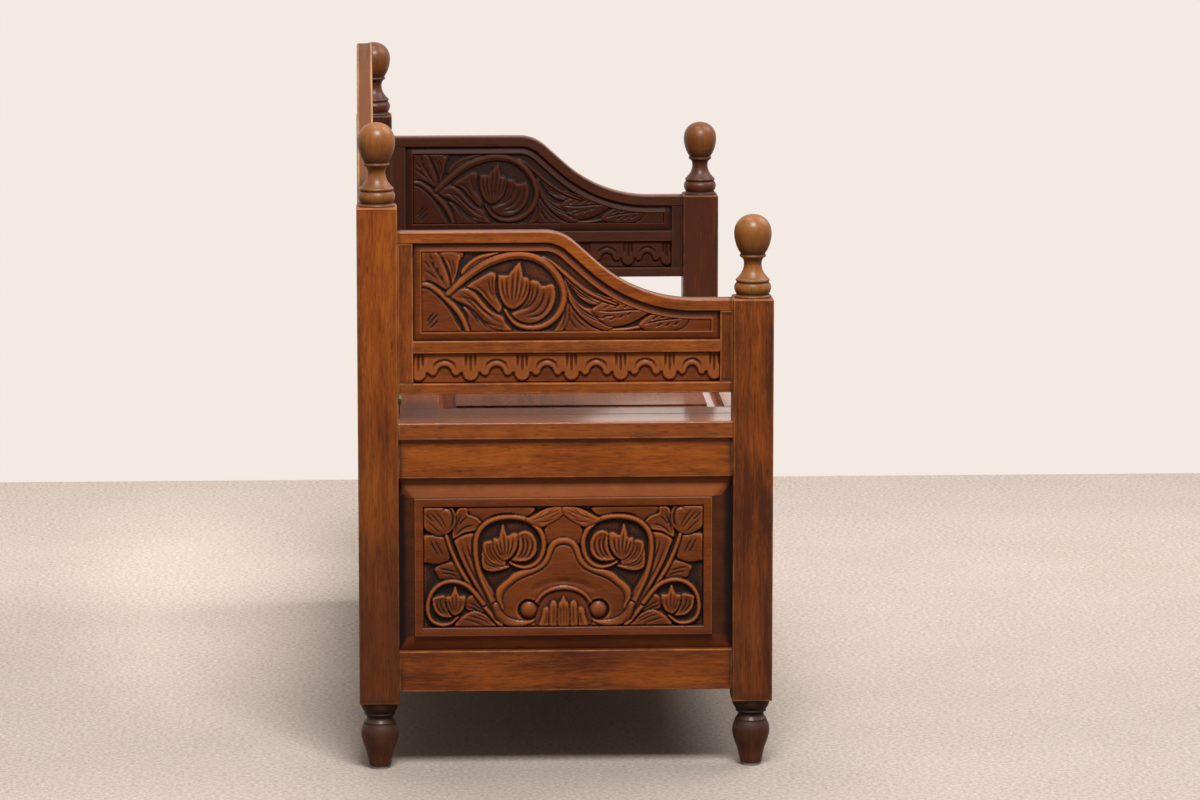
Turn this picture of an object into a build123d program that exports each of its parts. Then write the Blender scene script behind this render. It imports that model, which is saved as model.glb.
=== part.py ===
from build123d import *
import os
from math import radians, sqrt, tan, sin, cos

os.makedirs("parts", exist_ok=True)

# A carved hall bench with a lift-up seat. Sizes are in millimetres.
# X runs along the bench, its front faces -Y, the floor is at Z = 0, and the left end is at -X.
LENGTH = 1100  # over the posts
DEPTH = 515  # over the posts
SEAT_HEIGHT = 440

# Posts
POST = 50
POST_EDGE = 2.5
POST_TOP_CHAMFER = 2
FOOT_HEIGHT = 86  # underside of the posts, above the floor
FRONT_POST_RISE = 153  # above the seat
REAR_POST_RISE = 269  # above the seat

# Rails of the box and their joints
RAIL_INSET = 8  # behind the faces of the posts
RAIL_THICKNESS = 24
RAIL_EDGE = 1
TOP_RAIL_HEIGHT = 50
BOTTOM_RAIL_HEIGHT = 51
BOTTOM_RAIL_UNDERSIDE = 100
FRONT_MUNTIN = 50
TENON_THICKNESS = 8
TENON_LENGTH = 18
TENON_SHOULDER = 8
TENON_PLAY = 0.1

# Panels of the box, raised and fielded, with a carved ground sunk in the field
GROOVE_SETBACK = 10  # from the outer face of the rails
PANEL_TONGUE = 8
PANEL_REACH = 7  # of the tongue into its groove
PANEL_PLAY = 0.1
PANEL_END_GAP = 1
PANEL_BEVEL = 22
PANEL_BEVEL_RISE = 6
PANEL_STEP = 3
CARVED_BORDER = 11
CARVED_DEPTH = 6
ROUNDEL_RISE = 5
ROUNDEL_BAND = 8
UPPER_ROUNDEL_RADIUS = 36
UPPER_ROUNDEL_ACROSS = 64  # from the middle of the panel
UPPER_ROUNDEL_UP = 22
LOWER_ROUNDEL_RADIUS = 26
LOWER_ROUNDEL_ACROSS = 141
LOWER_ROUNDEL_DOWN = 40

# Frames above the seat: the arms and the back
UPPER_GAP = 35  # above the seat
UPPER_BOTTOM_RAIL = 13
FRIEZE_HEIGHT = 38
UPPER_MIDDLE_RAIL = 15
UPPER_TENON_LENGTH = 14
UPPER_TENON_SHOULDER = 2
UPPER_GROOVE = 6
UPPER_GROOVE_DEPTH = 5
UPPER_END_GAP = 0.5
UPPER_PLAY = 0.1
UPPER_BORDER = 10
UPPER_CARVED_DEPTH = 4
UPPER_ROUNDEL_RISE = 3.5
LUNETTE_PITCH = 63
LUNETTE_RADIUS = 20
LUNETTE_MARGIN = 4

# Arms, with an S-curved top edge
ARM_THICKNESS = 26
ARM_PANEL = 18
ARM_REAR_RISE = 237  # above the seat
ARM_TOP_RAIL = 14
ARM_EDGE = 1.5
ARM_REAR_STILE = 19
ARM_FRONT_STILE = 16
ARM_SHOULDER_RADIUS = 56
ARM_HOLLOW_RADIUS = 179
ARM_SLOPE_ANGLE = 42
ARM_SLOPE_LENGTH = 38
ARM_FRONT_FLAT = 48
ARM_ROUNDEL_BACK = 156  # from the rear post to its middle
ARM_ROUNDEL_UP = 58  # from the middle rail to its middle

# Back, with an arched crest
BACK_THICKNESS = 20
BACK_INSET = 1.5
BACK_PANEL = 14
CREST_RISE = 416  # above the seat, at its middle
CREST_END_RISE = 266  # above the seat, at the posts
CREST_RAIL = 60
CREST_EDGE = 2
CREST_TENON_SHOULDER = 12
BACK_STILE = 19
BACK_MUNTIN = 40
BACK_ROUNDEL_OUT = 110  # from the muntin to its middle
BACK_ROUNDEL_UP = 100

# Seat boards and lid
SEAT_THICKNESS = 20
SEAT_INSET = 3
SEAT_EDGE = 2
SEAT_PLAY = 0.2
END_BOARD_WIDTH = 63
HINGE_SETBACK = 2.5  # of the hinge line in front of the rear posts
LID_REAR_GAP = 1
LID_SIDE_GAP = 1
LID_LIFT = 0.5  # above the rails
LID_FRAME = 50
LID_GROOVE_BASE = 4  # above the underside of the lid
LID_TONGUE = 6
LID_REACH = 7
LID_TENON_SHOULDER = 10
LID_BEVEL = 21
LID_STEP = 2.5

# Box floor
FLOOR_BOARD = 9
FLOOR_PLAY = 0.3
BATTEN = 18
BATTEN_RAISE = 5  # above the underside of the bottom rails

# Butt hinges
HINGE_LENGTH = 76
HINGE_FROM_END = 192  # middle of the hinge from the end of the bench
LEAF_THICKNESS = 2
LEAF_HEIGHT = 16  # below the seat
LEAF_GAP = 0.2
LEAF_PLAY = 0.1
KNUCKLES = 5
KNUCKLE_RADIUS = 3.2
KNUCKLE_LIFT = 0.4
KNUCKLE_PLAY = 0.3
PIN_RADIUS = 1.6
PIN_PLAY = 0.05
SCREWS = 3
SCREW_RADIUS = 1.7
SCREW_HEAD_RADIUS = 3.2
SCREW_LENGTH = 18
SCREW_PLAY = 0.05

# Turned finials, from the post upwards
FINIAL_SPIGOT_RADIUS = 8
FINIAL_SPIGOT_LENGTH = 20
FINIAL_FILLET_RADIUS = 21.5
FINIAL_FILLET = 3.5
FINIAL_BEAD_RADIUS = 22.2
FINIAL_BEAD = 15.5
FINIAL_LIP_RADIUS = 20.5
FINIAL_LIP = 3.5
FINIAL_NECK_RADIUS = 11.2
FINIAL_COVE = 19.5
FINIAL_NECK = 9
FINIAL_RING_RADIUS = 15.5
FINIAL_RING = 3.5
FINIAL_BALL_FOOT_RADIUS = 13.5
FINIAL_BALL_FOOT = 24
FINIAL_BALL_RADIUS = 22.5

# Turned feet, from the post downwards
FOOT_SPIGOT_RADIUS = 9
FOOT_SPIGOT_LENGTH = 18
FOOT_COLLAR_RADIUS = 22.5
FOOT_COLLAR = 14
FOOT_GROOVE_RADIUS = 15.3
FOOT_GROOVE = 6
FOOT_BULB_RADIUS = 23
FOOT_SHOULDER = 17
FOOT_ANKLE_RADIUS = 13
SPIGOT_PLAY = 0.1

# Glides nailed under the feet
GLIDE_RADIUS = 12.5
GLIDE = 4
GLIDE_NAIL_RADIUS = 1.5
GLIDE_NAIL_LENGTH = 14


def grown(span, margin):
    return (span[0] - margin, span[1] + margin)


def centred(middle, width):
    return (middle - width / 2, middle + width / 2)


def middle_of(span):
    return (span[0] + span[1]) / 2


def flipped(span):
    return (-span[1], -span[0])


def block(x, y, z, mode=Mode.ADD):
    """A box between two planes on each axis, each pair given as (low, high)."""
    with Locations((middle_of(x), middle_of(y), middle_of(z))):
        Box(x[1] - x[0], y[1] - y[0], z[1] - z[0], mode=mode)


def socket(tenon):
    """Cut the mortise of a tenon, which is given as its three spans."""
    block(*[grown(span, TENON_PLAY) for span in tenon], mode=Mode.SUBTRACT)


def groove(tongue, across):
    """Cut the groove of a panel's tongue, whose thickness lies along the axis number across."""
    margins = [PANEL_PLAY if axis == across else PANEL_END_GAP for axis in range(3)]
    block(*[grown(span, margin) for span, margin in zip(tongue, margins)], mode=Mode.SUBTRACT)


def save(piece, name):
    piece.part.label = name
    export_step(piece.part, f"parts/{name}.step")


def save_pair(left, name):
    """Write a piece of the left side, and its mirror image on the right side."""
    save(left, f"left_{name}")
    with BuildPart() as right:
        mirror(left.part, about=Plane.YZ)
    save(right, f"right_{name}")


# Places that the pieces share
half_length = LENGTH / 2
half_depth = DEPTH / 2
post_inner_x = half_length - POST
post_inner_y = half_depth - POST
post_x = half_length - POST / 2
post_y = half_depth - POST / 2
clear_x = (-post_inner_x, post_inner_x)
clear_y = (-post_inner_y, post_inner_y)
corners = [(x, y) for x in (-post_x, post_x) for y in (-post_y, post_y)]
front_post_top = SEAT_HEIGHT + FRONT_POST_RISE
rear_post_top = SEAT_HEIGHT + REAR_POST_RISE
upper_underside = SEAT_HEIGHT + UPPER_GAP
arm_rear_top = SEAT_HEIGHT + ARM_REAR_RISE
crest_top = SEAT_HEIGHT + CREST_RISE
crest_end_top = SEAT_HEIGHT + CREST_END_RISE

# The box: spans of its rails, tenons and panel tongues
rail_top = SEAT_HEIGHT - SEAT_THICKNESS
top_rail_z = (rail_top - TOP_RAIL_HEIGHT, rail_top)
bottom_rail_z = (BOTTOM_RAIL_UNDERSIDE, BOTTOM_RAIL_UNDERSIDE + BOTTOM_RAIL_HEIGHT)
panel_z = (bottom_rail_z[1], top_rail_z[0])
rail_outer_x = half_length - RAIL_INSET
rail_outer_y = half_depth - RAIL_INSET
left_rail_x = (-rail_outer_x, -rail_outer_x + RAIL_THICKNESS)
front_rail_y = (-rail_outer_y, -rail_outer_y + RAIL_THICKNESS)
rear_rail_y = flipped(front_rail_y)
left_tongue_x = centred(-rail_outer_x + GROOVE_SETBACK + PANEL_TONGUE / 2, PANEL_TONGUE)
front_tongue_y = centred(-rail_outer_y + GROOVE_SETBACK + PANEL_TONGUE / 2, PANEL_TONGUE)
rear_tongue_y = flipped(front_tongue_y)
tongue_z = grown(panel_z, PANEL_REACH)
end_tongue = (left_tongue_x, grown(clear_y, PANEL_REACH), tongue_z)
front_tongue = (grown(clear_x, PANEL_REACH), front_tongue_y, tongue_z)
rear_tongue = (grown(clear_x, PANEL_REACH), rear_tongue_y, tongue_z)


def end_tenon(rail_z):
    thickness = centred(middle_of(left_rail_x), TENON_THICKNESS)
    return (thickness, grown(clear_y, TENON_LENGTH), grown(rail_z, -TENON_SHOULDER))


def cross_tenon(rail_y, rail_z):
    thickness = centred(middle_of(rail_y), TENON_THICKNESS)
    return (grown(clear_x, TENON_LENGTH), thickness, grown(rail_z, -TENON_SHOULDER))


# The arms and the back: spans of their rails, and the curves of their top edges
lower_rail_z = (upper_underside, upper_underside + UPPER_BOTTOM_RAIL)
frieze_z = (lower_rail_z[1], lower_rail_z[1] + FRIEZE_HEIGHT)
middle_rail_z = (frieze_z[1], frieze_z[1] + UPPER_MIDDLE_RAIL)
upper_tongue = UPPER_GROOVE - 2 * UPPER_PLAY
upper_reach = UPPER_GROOVE_DEPTH - UPPER_END_GAP

left_arm_x = centred(-post_x, ARM_THICKNESS)
left_arm_plane = Plane.YZ.offset(-post_x)
arm_rear_y = post_inner_y - ARM_REAR_STILE
arm_front_y = -post_inner_y + ARM_FRONT_STILE
arm_half_turn = tan(radians(ARM_SLOPE_ANGLE / 2))
arm_slope = ARM_SLOPE_LENGTH + (ARM_SHOULDER_RADIUS + ARM_HOLLOW_RADIUS) * arm_half_turn
arm_front_top = arm_rear_top - arm_slope * sin(radians(ARM_SLOPE_ANGLE))
hollow_y = -post_inner_y + ARM_FRONT_FLAT + ARM_HOLLOW_RADIUS * arm_half_turn
shoulder_y = hollow_y + arm_slope * cos(radians(ARM_SLOPE_ANGLE))

back_y = (half_depth - BACK_INSET - BACK_THICKNESS, half_depth - BACK_INSET)
back_plane = Plane(origin=(0, middle_of(back_y), 0), x_dir=(1, 0, 0), z_dir=(0, -1, 0))
stile_x = (-post_inner_x, -post_inner_x + BACK_STILE)
inside_stiles_x = grown(clear_x, -BACK_STILE)
arch_rise = CREST_RISE - CREST_END_RISE
crest_radius = (post_inner_x**2 + arch_rise**2) / (2 * arch_rise)
crest_centre_z = crest_top - crest_radius


def arch_z(x, drop):
    """Height of the crest's arch at x, on a line that lies drop below the top edge."""
    return crest_centre_z + sqrt((crest_radius - drop) ** 2 - x**2)


def arm_tenon(rail_z, y):
    return (centred(-post_x, TENON_THICKNESS), y, grown(rail_z, -UPPER_TENON_SHOULDER))


def back_tenon(rail_z, shoulder):
    length = grown(clear_x, UPPER_TENON_LENGTH)
    return (length, centred(middle_of(back_y), TENON_THICKNESS), grown(rail_z, -shoulder))


arm_lower_tenon = arm_tenon(lower_rail_z, grown(clear_y, UPPER_TENON_LENGTH))
arm_rear_tenon = arm_tenon(
    (arm_rear_top - ARM_TOP_RAIL, arm_rear_top),
    (post_inner_y, post_inner_y + UPPER_TENON_LENGTH),
)
arm_front_tenon = arm_tenon(
    (arm_front_top - ARM_TOP_RAIL, arm_front_top),
    (-post_inner_y - UPPER_TENON_LENGTH, -post_inner_y),
)
back_lower_tenon = back_tenon(lower_rail_z, UPPER_TENON_SHOULDER)
crest_end_z = (arch_z(post_inner_x, CREST_RAIL), arch_z(post_inner_x, 0))
crest_tenon = back_tenon(crest_end_z, CREST_TENON_SHOULDER)


# Posts
def left_post(side, top, sockets, tongues):
    """A left post, front (side -1) or rear (side 1), cut for its tenons and panel tongues."""
    with BuildPart() as post:
        with BuildSketch(Plane.XY.offset(FOOT_HEIGHT)):
            with Locations((-post_x, side * post_y)):
                Rectangle(POST, POST)
        extrude(amount=top - FOOT_HEIGHT)
        fillet(post.edges().filter_by(Axis.Z), POST_EDGE)
        chamfer(post.faces().sort_by(Axis.Z)[-1].edges(), POST_TOP_CHAMFER)
        for tenon in sockets:
            socket(tenon)
        for tongue, across in tongues:
            groove(tongue, across)
        with Locations((-post_x, side * post_y, top)):
            Hole(FINIAL_SPIGOT_RADIUS + SPIGOT_PLAY, FINIAL_SPIGOT_LENGTH + SPIGOT_PLAY)
        with Locations(Location((-post_x, side * post_y, FOOT_HEIGHT), (180, 0, 0))):
            Hole(FOOT_SPIGOT_RADIUS + SPIGOT_PLAY, FOOT_SPIGOT_LENGTH + SPIGOT_PLAY)
    return post


end_tenons = [end_tenon(top_rail_z), end_tenon(bottom_rail_z), arm_lower_tenon]
front_tenons = [cross_tenon(front_rail_y, top_rail_z), cross_tenon(front_rail_y, bottom_rail_z)]
rear_tenons = [cross_tenon(rear_rail_y, top_rail_z), cross_tenon(rear_rail_y, bottom_rail_z)]
back_tenons = [back_lower_tenon, crest_tenon]
save_pair(
    left_post(
        -1,
        front_post_top,
        end_tenons + front_tenons + [arm_front_tenon],
        [(end_tongue, 0), (front_tongue, 1)],
    ),
    "front_post",
)
save_pair(
    left_post(
        1,
        rear_post_top,
        end_tenons + rear_tenons + back_tenons + [arm_rear_tenon],
        [(end_tongue, 0), (rear_tongue, 1)],
    ),
    "rear_post",
)


# Rails of the box
def end_rail(rail_z):
    with BuildPart() as rail:
        block(left_rail_x, clear_y, rail_z)
        fillet(rail.edges().filter_by(Axis.Y), RAIL_EDGE)
        block(*end_tenon(rail_z))
        groove(end_tongue, 0)
    return rail


def cross_rail(rail_y, rail_z, tongue):
    with BuildPart() as rail:
        block(clear_x, rail_y, rail_z)
        fillet(rail.edges().filter_by(Axis.X), RAIL_EDGE)
        block(*cross_tenon(rail_y, rail_z))
        groove(tongue, 1)
    return rail


save_pair(end_rail(top_rail_z), "end_top_rail")
save_pair(end_rail(bottom_rail_z), "end_bottom_rail")
save(cross_rail(front_rail_y, top_rail_z, front_tongue), "front_top_rail")
save(cross_rail(front_rail_y, bottom_rail_z, front_tongue), "front_bottom_rail")
save(cross_rail(rear_rail_y, top_rail_z, rear_tongue), "rear_top_rail")
save(cross_rail(rear_rail_y, bottom_rail_z, rear_tongue), "rear_bottom_rail")

front_panel_x = (-post_inner_x, -FRONT_MUNTIN / 2)
front_panel_tongue = (grown(front_panel_x, PANEL_REACH), front_tongue_y, tongue_z)
with BuildPart() as front_muntin:
    block(centred(0, FRONT_MUNTIN), front_rail_y, panel_z)
    fillet(front_muntin.edges().filter_by(Axis.Z), RAIL_EDGE)
    block(centred(0, FRONT_MUNTIN), front_tongue_y, tongue_z)
    groove(front_panel_tongue, 1)
    groove((flipped(front_panel_tongue[0]), *front_panel_tongue[1:]), 1)
save(front_muntin, "front_muntin")


# Panels of the box
def fielded_panel(face, width, height, tongue, reach, bevel, rise, step):
    """A raised panel whose tongue has its outer face on the plane face."""
    with BuildPart() as panel:
        with BuildSketch(face):
            Rectangle(width + 2 * reach, height + 2 * reach)
        extrude(amount=-tongue)
        with BuildSketch(face):
            Rectangle(width - 2 * PANEL_PLAY, height - 2 * PANEL_PLAY)
        with BuildSketch(face.offset(rise)):
            Rectangle(width - 2 * bevel, height - 2 * bevel)
        loft(ruled=True)
        with BuildSketch(face.offset(rise)):
            Rectangle(width - 2 * bevel, height - 2 * bevel)
        extrude(amount=step)
    return panel


def roundel(radius):
    """A ring of carved stem with a flower bud in it."""
    Circle(radius)
    Circle(radius - ROUNDEL_BAND, mode=Mode.SUBTRACT)
    Ellipse((radius - ROUNDEL_BAND) / 2, radius - ROUNDEL_BAND / 2)


def carved_panel(face, width, height):
    field = face.offset(PANEL_BEVEL_RISE + PANEL_STEP)
    ground = field.offset(-CARVED_DEPTH)
    sunk = 2 * (PANEL_BEVEL + CARVED_BORDER)
    with BuildPart() as carved:
        add(
            fielded_panel(
                face,
                width,
                height,
                PANEL_TONGUE,
                PANEL_REACH,
                PANEL_BEVEL,
                PANEL_BEVEL_RISE,
                PANEL_STEP,
            ).part
        )
        with BuildSketch(field):
            Rectangle(width - sunk, height - sunk)
        extrude(amount=-CARVED_DEPTH, mode=Mode.SUBTRACT)
        with BuildSketch(ground):
            for side in (-1, 1):
                with Locations((side * UPPER_ROUNDEL_ACROSS, UPPER_ROUNDEL_UP)):
                    roundel(UPPER_ROUNDEL_RADIUS)
                with Locations((side * LOWER_ROUNDEL_ACROSS, -LOWER_ROUNDEL_DOWN)):
                    roundel(LOWER_ROUNDEL_RADIUS)
        extrude(amount=ROUNDEL_RISE)
    return carved


panel_height = panel_z[1] - panel_z[0]
end_face = Plane(origin=(left_tongue_x[0], 0, middle_of(panel_z)), x_dir=(0, -1, 0), z_dir=(-1, 0, 0))
save_pair(carved_panel(end_face, 2 * post_inner_y, panel_height), "end_panel")
front_face = Plane(
    origin=(middle_of(front_panel_x), front_tongue_y[0], middle_of(panel_z)),
    x_dir=(1, 0, 0),
    z_dir=(0, -1, 0),
)
save_pair(carved_panel(front_face, front_panel_x[1] - front_panel_x[0], panel_height), "front_panel")

with BuildPart() as rear_panel:
    block(*rear_tongue)
save(rear_panel, "rear_panel")

# Box floor, on battens along the bottom rails
inside_x = (left_rail_x[1], -left_rail_x[1])
inside_y = (front_rail_y[1], -front_rail_y[1])
batten_z = (BOTTOM_RAIL_UNDERSIDE + BATTEN_RAISE, BOTTOM_RAIL_UNDERSIDE + BATTEN_RAISE + BATTEN)
floor_z = (batten_z[1], batten_z[1] + FLOOR_BOARD)
with BuildPart() as floor_board:
    block(grown(inside_x, -FLOOR_PLAY), grown(inside_y, -FLOOR_PLAY), floor_z)
    with Locations([(x, y, middle_of(floor_z)) for x, y in corners]):
        Box(POST + 2 * FLOOR_PLAY, POST + 2 * FLOOR_PLAY, FLOOR_BOARD, mode=Mode.SUBTRACT)
save(floor_board, "floor_board")

with BuildPart() as floor_battens:
    front_batten_y = (inside_y[0], inside_y[0] + BATTEN)
    end_batten_x = (inside_x[0], inside_x[0] + BATTEN)
    for batten_y in (front_batten_y, flipped(front_batten_y)):
        block(grown(clear_x, -FLOOR_PLAY), batten_y, batten_z)
    for batten_x in (end_batten_x, flipped(end_batten_x)):
        block(batten_x, grown(inside_y, -BATTEN - FLOOR_PLAY), batten_z)
save(floor_battens, "floor_battens")


# Arms
def arm_face(rear, front, bottom, drop, mode=Mode.ADD):
    """Side view of an arm between two uprights, above bottom and drop below the S-curve."""
    back_shift = drop * arm_half_turn
    high = arm_rear_top - drop
    low = arm_front_top - drop
    bends = [(shoulder_y + back_shift, high), (hollow_y + back_shift, low)]
    radii = [ARM_SHOULDER_RADIUS - drop, ARM_HOLLOW_RADIUS + drop]
    with BuildLine() as outline:
        FilletPolyline((post_inner_y + POST, high), *bends, (-post_inner_y - POST, low), radius=radii)
        Polyline(
            (-post_inner_y - POST, low),
            (-post_inner_y - POST, bottom),
            (post_inner_y + POST, bottom),
            (post_inner_y + POST, high),
        )
    make_face(outline.edges(), mode=mode)
    if mode == Mode.ADD:
        with Locations(((rear + front) / 2, bottom)):
            Rectangle(rear - front, 2 * (high - bottom), mode=Mode.INTERSECT)


with BuildPart() as arm_top_rail:
    with BuildSketch(left_arm_plane):
        arm_face(post_inner_y, -post_inner_y, middle_rail_z[1], 0)
        arm_face(post_inner_y, -post_inner_y, middle_rail_z[1], ARM_TOP_RAIL, mode=Mode.SUBTRACT)
    extrude(amount=ARM_THICKNESS / 2, both=True)
    side_faces = arm_top_rail.faces().filter_by(Axis.X)
    fillet(side_faces.edges().filter_by(Axis.Z, reverse=True), ARM_EDGE)
    with BuildSketch(left_arm_plane):
        arm_face(post_inner_y, -post_inner_y, middle_rail_z[1], ARM_TOP_RAIL - UPPER_GROOVE_DEPTH)
    extrude(amount=UPPER_GROOVE / 2, both=True, mode=Mode.SUBTRACT)
    block(*arm_rear_tenon)
    block(*arm_front_tenon)
save_pair(arm_top_rail, "arm_top_rail")

arm_groove_x = centred(-post_x, UPPER_GROOVE)
arm_tongue_x = centred(-post_x, upper_tongue)
with BuildPart() as arm_bottom_rail:
    block(left_arm_x, clear_y, lower_rail_z)
    fillet(arm_bottom_rail.edges().filter_by(Axis.Y), RAIL_EDGE)
    block(*arm_lower_tenon)
    block(arm_groove_x, clear_y, (lower_rail_z[1] - UPPER_GROOVE_DEPTH, lower_rail_z[1]), Mode.SUBTRACT)
save_pair(arm_bottom_rail, "arm_bottom_rail")

with BuildPart() as arm_middle_rail:
    block(left_arm_x, (arm_front_y, arm_rear_y), middle_rail_z)
    fillet(arm_middle_rail.edges().filter_by(Axis.Y), RAIL_EDGE)
    tongue_y = grown((arm_front_y, arm_rear_y), upper_reach)
    block(arm_tongue_x, tongue_y, grown(middle_rail_z, -UPPER_GROOVE_DEPTH))
    for edge_z, inward in ((middle_rail_z[0], 1), (middle_rail_z[1], -1)):
        groove_z = tuple(sorted((edge_z, edge_z + inward * UPPER_GROOVE_DEPTH)))
        block(arm_groove_x, (arm_front_y, arm_rear_y), groove_z, Mode.SUBTRACT)
save_pair(arm_middle_rail, "arm_middle_rail")


def arm_stile(rear, front, groove_y):
    with BuildPart() as stile:
        with BuildSketch(left_arm_plane):
            arm_face(rear, front, lower_rail_z[1], ARM_TOP_RAIL)
        extrude(amount=ARM_THICKNESS / 2, both=True)
        fillet(stile.edges().filter_by(Axis.Z), RAIL_EDGE)
        with BuildSketch(left_arm_plane):
            arm_face(rear, front, lower_rail_z[1] - upper_reach, ARM_TOP_RAIL - upper_reach)
        extrude(amount=upper_tongue / 2, both=True)
        block(arm_groove_x, groove_y, (upper_underside, rear_post_top), Mode.SUBTRACT)
    return stile


rear_groove_y = (arm_rear_y, arm_rear_y + UPPER_GROOVE_DEPTH)
front_groove_y = (arm_front_y - UPPER_GROOVE_DEPTH, arm_front_y)
save_pair(arm_stile(post_inner_y, arm_rear_y, rear_groove_y), "arm_rear_stile")
save_pair(arm_stile(arm_front_y, -post_inner_y, front_groove_y), "arm_front_stile")


def arm_opening(margin):
    """The opening that the arm's carved panel fills, enlarged by margin."""
    arm_face(arm_rear_y + margin, arm_front_y - margin, middle_rail_z[1] - margin, ARM_TOP_RAIL - margin)


with BuildPart() as arm_panel:
    with BuildSketch(left_arm_plane):
        arm_opening(upper_reach)
    extrude(amount=upper_tongue / 2, both=True)
    with BuildSketch(left_arm_plane):
        arm_opening(-UPPER_PLAY)
    extrude(amount=ARM_PANEL / 2, both=True)
    for side in (-1, 1):
        ground = left_arm_plane.offset(side * (ARM_PANEL / 2 - UPPER_CARVED_DEPTH))
        with BuildSketch(ground):
            arm_opening(-UPPER_BORDER)
        extrude(amount=side * UPPER_CARVED_DEPTH, mode=Mode.SUBTRACT)
        with BuildSketch(ground):
            with Locations((post_inner_y - ARM_ROUNDEL_BACK, middle_rail_z[1] + ARM_ROUNDEL_UP)):
                roundel(UPPER_ROUNDEL_RADIUS)
        extrude(amount=side * UPPER_ROUNDEL_RISE)
save_pair(arm_panel, "arm_panel")


def frieze_panel(middle, width, thickness, carved_sides):
    """A panel with a row of sunk half-round lunettes on one or both faces."""
    bays = max(1, round(width / LUNETTE_PITCH))
    pitch = width / bays
    height = FRIEZE_HEIGHT
    with BuildPart() as frieze:
        with BuildSketch(middle):
            Rectangle(width + 2 * upper_reach, height + 2 * upper_reach)
        extrude(amount=upper_tongue / 2, both=True)
        with BuildSketch(middle):
            Rectangle(width - 2 * UPPER_PLAY, height - 2 * UPPER_PLAY)
        extrude(amount=thickness / 2, both=True)
        for side in carved_sides:
            with BuildSketch(middle.offset(side * (thickness / 2 - UPPER_CARVED_DEPTH))):
                for bay in range(bays):
                    with Locations((-width / 2 + (bay + 0.5) * pitch, LUNETTE_MARGIN - height / 2)):
                        Circle(LUNETTE_RADIUS)
                with Locations((0, LUNETTE_MARGIN - height / 2)):
                    Rectangle(width, LUNETTE_RADIUS, align=(Align.CENTER, Align.MAX), mode=Mode.SUBTRACT)
            extrude(amount=side * UPPER_CARVED_DEPTH, mode=Mode.SUBTRACT)
    return frieze


arm_frieze_middle = Plane(
    origin=(-post_x, (arm_rear_y + arm_front_y) / 2, middle_of(frieze_z)),
    x_dir=(0, -1, 0),
    z_dir=(-1, 0, 0),
)
save_pair(frieze_panel(arm_frieze_middle, arm_rear_y - arm_front_y, ARM_PANEL, (-1, 1)), "arm_frieze")


# Back
def arch_face(left, right, bottom, drop, mode=Mode.ADD):
    """Front view of the back between two uprights, above bottom and drop below the arch."""
    centre_x = (left + right) / 2
    with BuildLine() as outline:
        ThreePointArc(
            (left, arch_z(left, drop)),
            (centre_x, arch_z(centre_x, drop)),
            (right, arch_z(right, drop)),
        )
        Polyline((right, arch_z(right, drop)), (right, bottom), (left, bottom), (left, arch_z(left, drop)))
    make_face(outline.edges(), mode=mode)


with BuildPart() as crest_rail:
    with BuildSketch(back_plane):
        arch_face(*clear_x, middle_rail_z[1], 0)
        arch_face(*clear_x, middle_rail_z[1], CREST_RAIL, mode=Mode.SUBTRACT)
    extrude(amount=BACK_THICKNESS / 2, both=True)
    crest_edges = crest_rail.edges().filter_by(GeomType.CIRCLE)
    fillet(crest_edges.sort_by(SortBy.RADIUS)[-2:], CREST_EDGE)
    with BuildSketch(back_plane):
        arch_face(*clear_x, middle_rail_z[1], CREST_RAIL - UPPER_GROOVE_DEPTH)
    extrude(amount=UPPER_GROOVE / 2, both=True, mode=Mode.SUBTRACT)
    for tenon_x in ((post_inner_x, crest_tenon[0][1]), (crest_tenon[0][0], -post_inner_x)):
        block(tenon_x, *crest_tenon[1:])
save(crest_rail, "crest_rail")

back_groove_y = centred(middle_of(back_y), UPPER_GROOVE)
back_tongue_y = centred(middle_of(back_y), upper_tongue)
with BuildPart() as back_bottom_rail:
    block(clear_x, back_y, lower_rail_z)
    fillet(back_bottom_rail.edges().filter_by(Axis.X), RAIL_EDGE)
    block(*back_lower_tenon)
    block(clear_x, back_groove_y, (lower_rail_z[1] - UPPER_GROOVE_DEPTH, lower_rail_z[1]), Mode.SUBTRACT)
save(back_bottom_rail, "back_bottom_rail")

with BuildPart() as back_middle_rail:
    block(inside_stiles_x, back_y, middle_rail_z)
    fillet(back_middle_rail.edges().filter_by(Axis.X), RAIL_EDGE)
    block(grown(inside_stiles_x, upper_reach), back_tongue_y, grown(middle_rail_z, -UPPER_GROOVE_DEPTH))
    for edge_z, inward in ((middle_rail_z[0], 1), (middle_rail_z[1], -1)):
        groove_z = tuple(sorted((edge_z, edge_z + inward * UPPER_GROOVE_DEPTH)))
        block(inside_stiles_x, back_groove_y, groove_z, Mode.SUBTRACT)
save(back_middle_rail, "back_middle_rail")


def back_upright(x, bottom, grooves_x):
    """An upright of the back that runs from a rail to the underside of the crest."""
    with BuildPart() as upright:
        with BuildSketch(back_plane):
            arch_face(*x, bottom, CREST_RAIL)
        extrude(amount=BACK_THICKNESS / 2, both=True)
        fillet(upright.edges().filter_by(Axis.Z), RAIL_EDGE)
        with BuildSketch(back_plane):
            arch_face(*x, bottom - upper_reach, CREST_RAIL - upper_reach)
        extrude(amount=upper_tongue / 2, both=True)
        for groove_x in grooves_x:
            block(groove_x, back_groove_y, (upper_underside, crest_top), Mode.SUBTRACT)
    return upright


stile_groove_x = (stile_x[1] - UPPER_GROOVE_DEPTH, stile_x[1])
save_pair(back_upright(stile_x, lower_rail_z[1], [stile_groove_x]), "back_stile")
muntin_x = centred(0, BACK_MUNTIN)
muntin_groove_x = (muntin_x[0], muntin_x[0] + UPPER_GROOVE_DEPTH)
back_muntin_grooves = [muntin_groove_x, flipped(muntin_groove_x)]
save(back_upright(muntin_x, middle_rail_z[1], back_muntin_grooves), "back_muntin")

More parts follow.
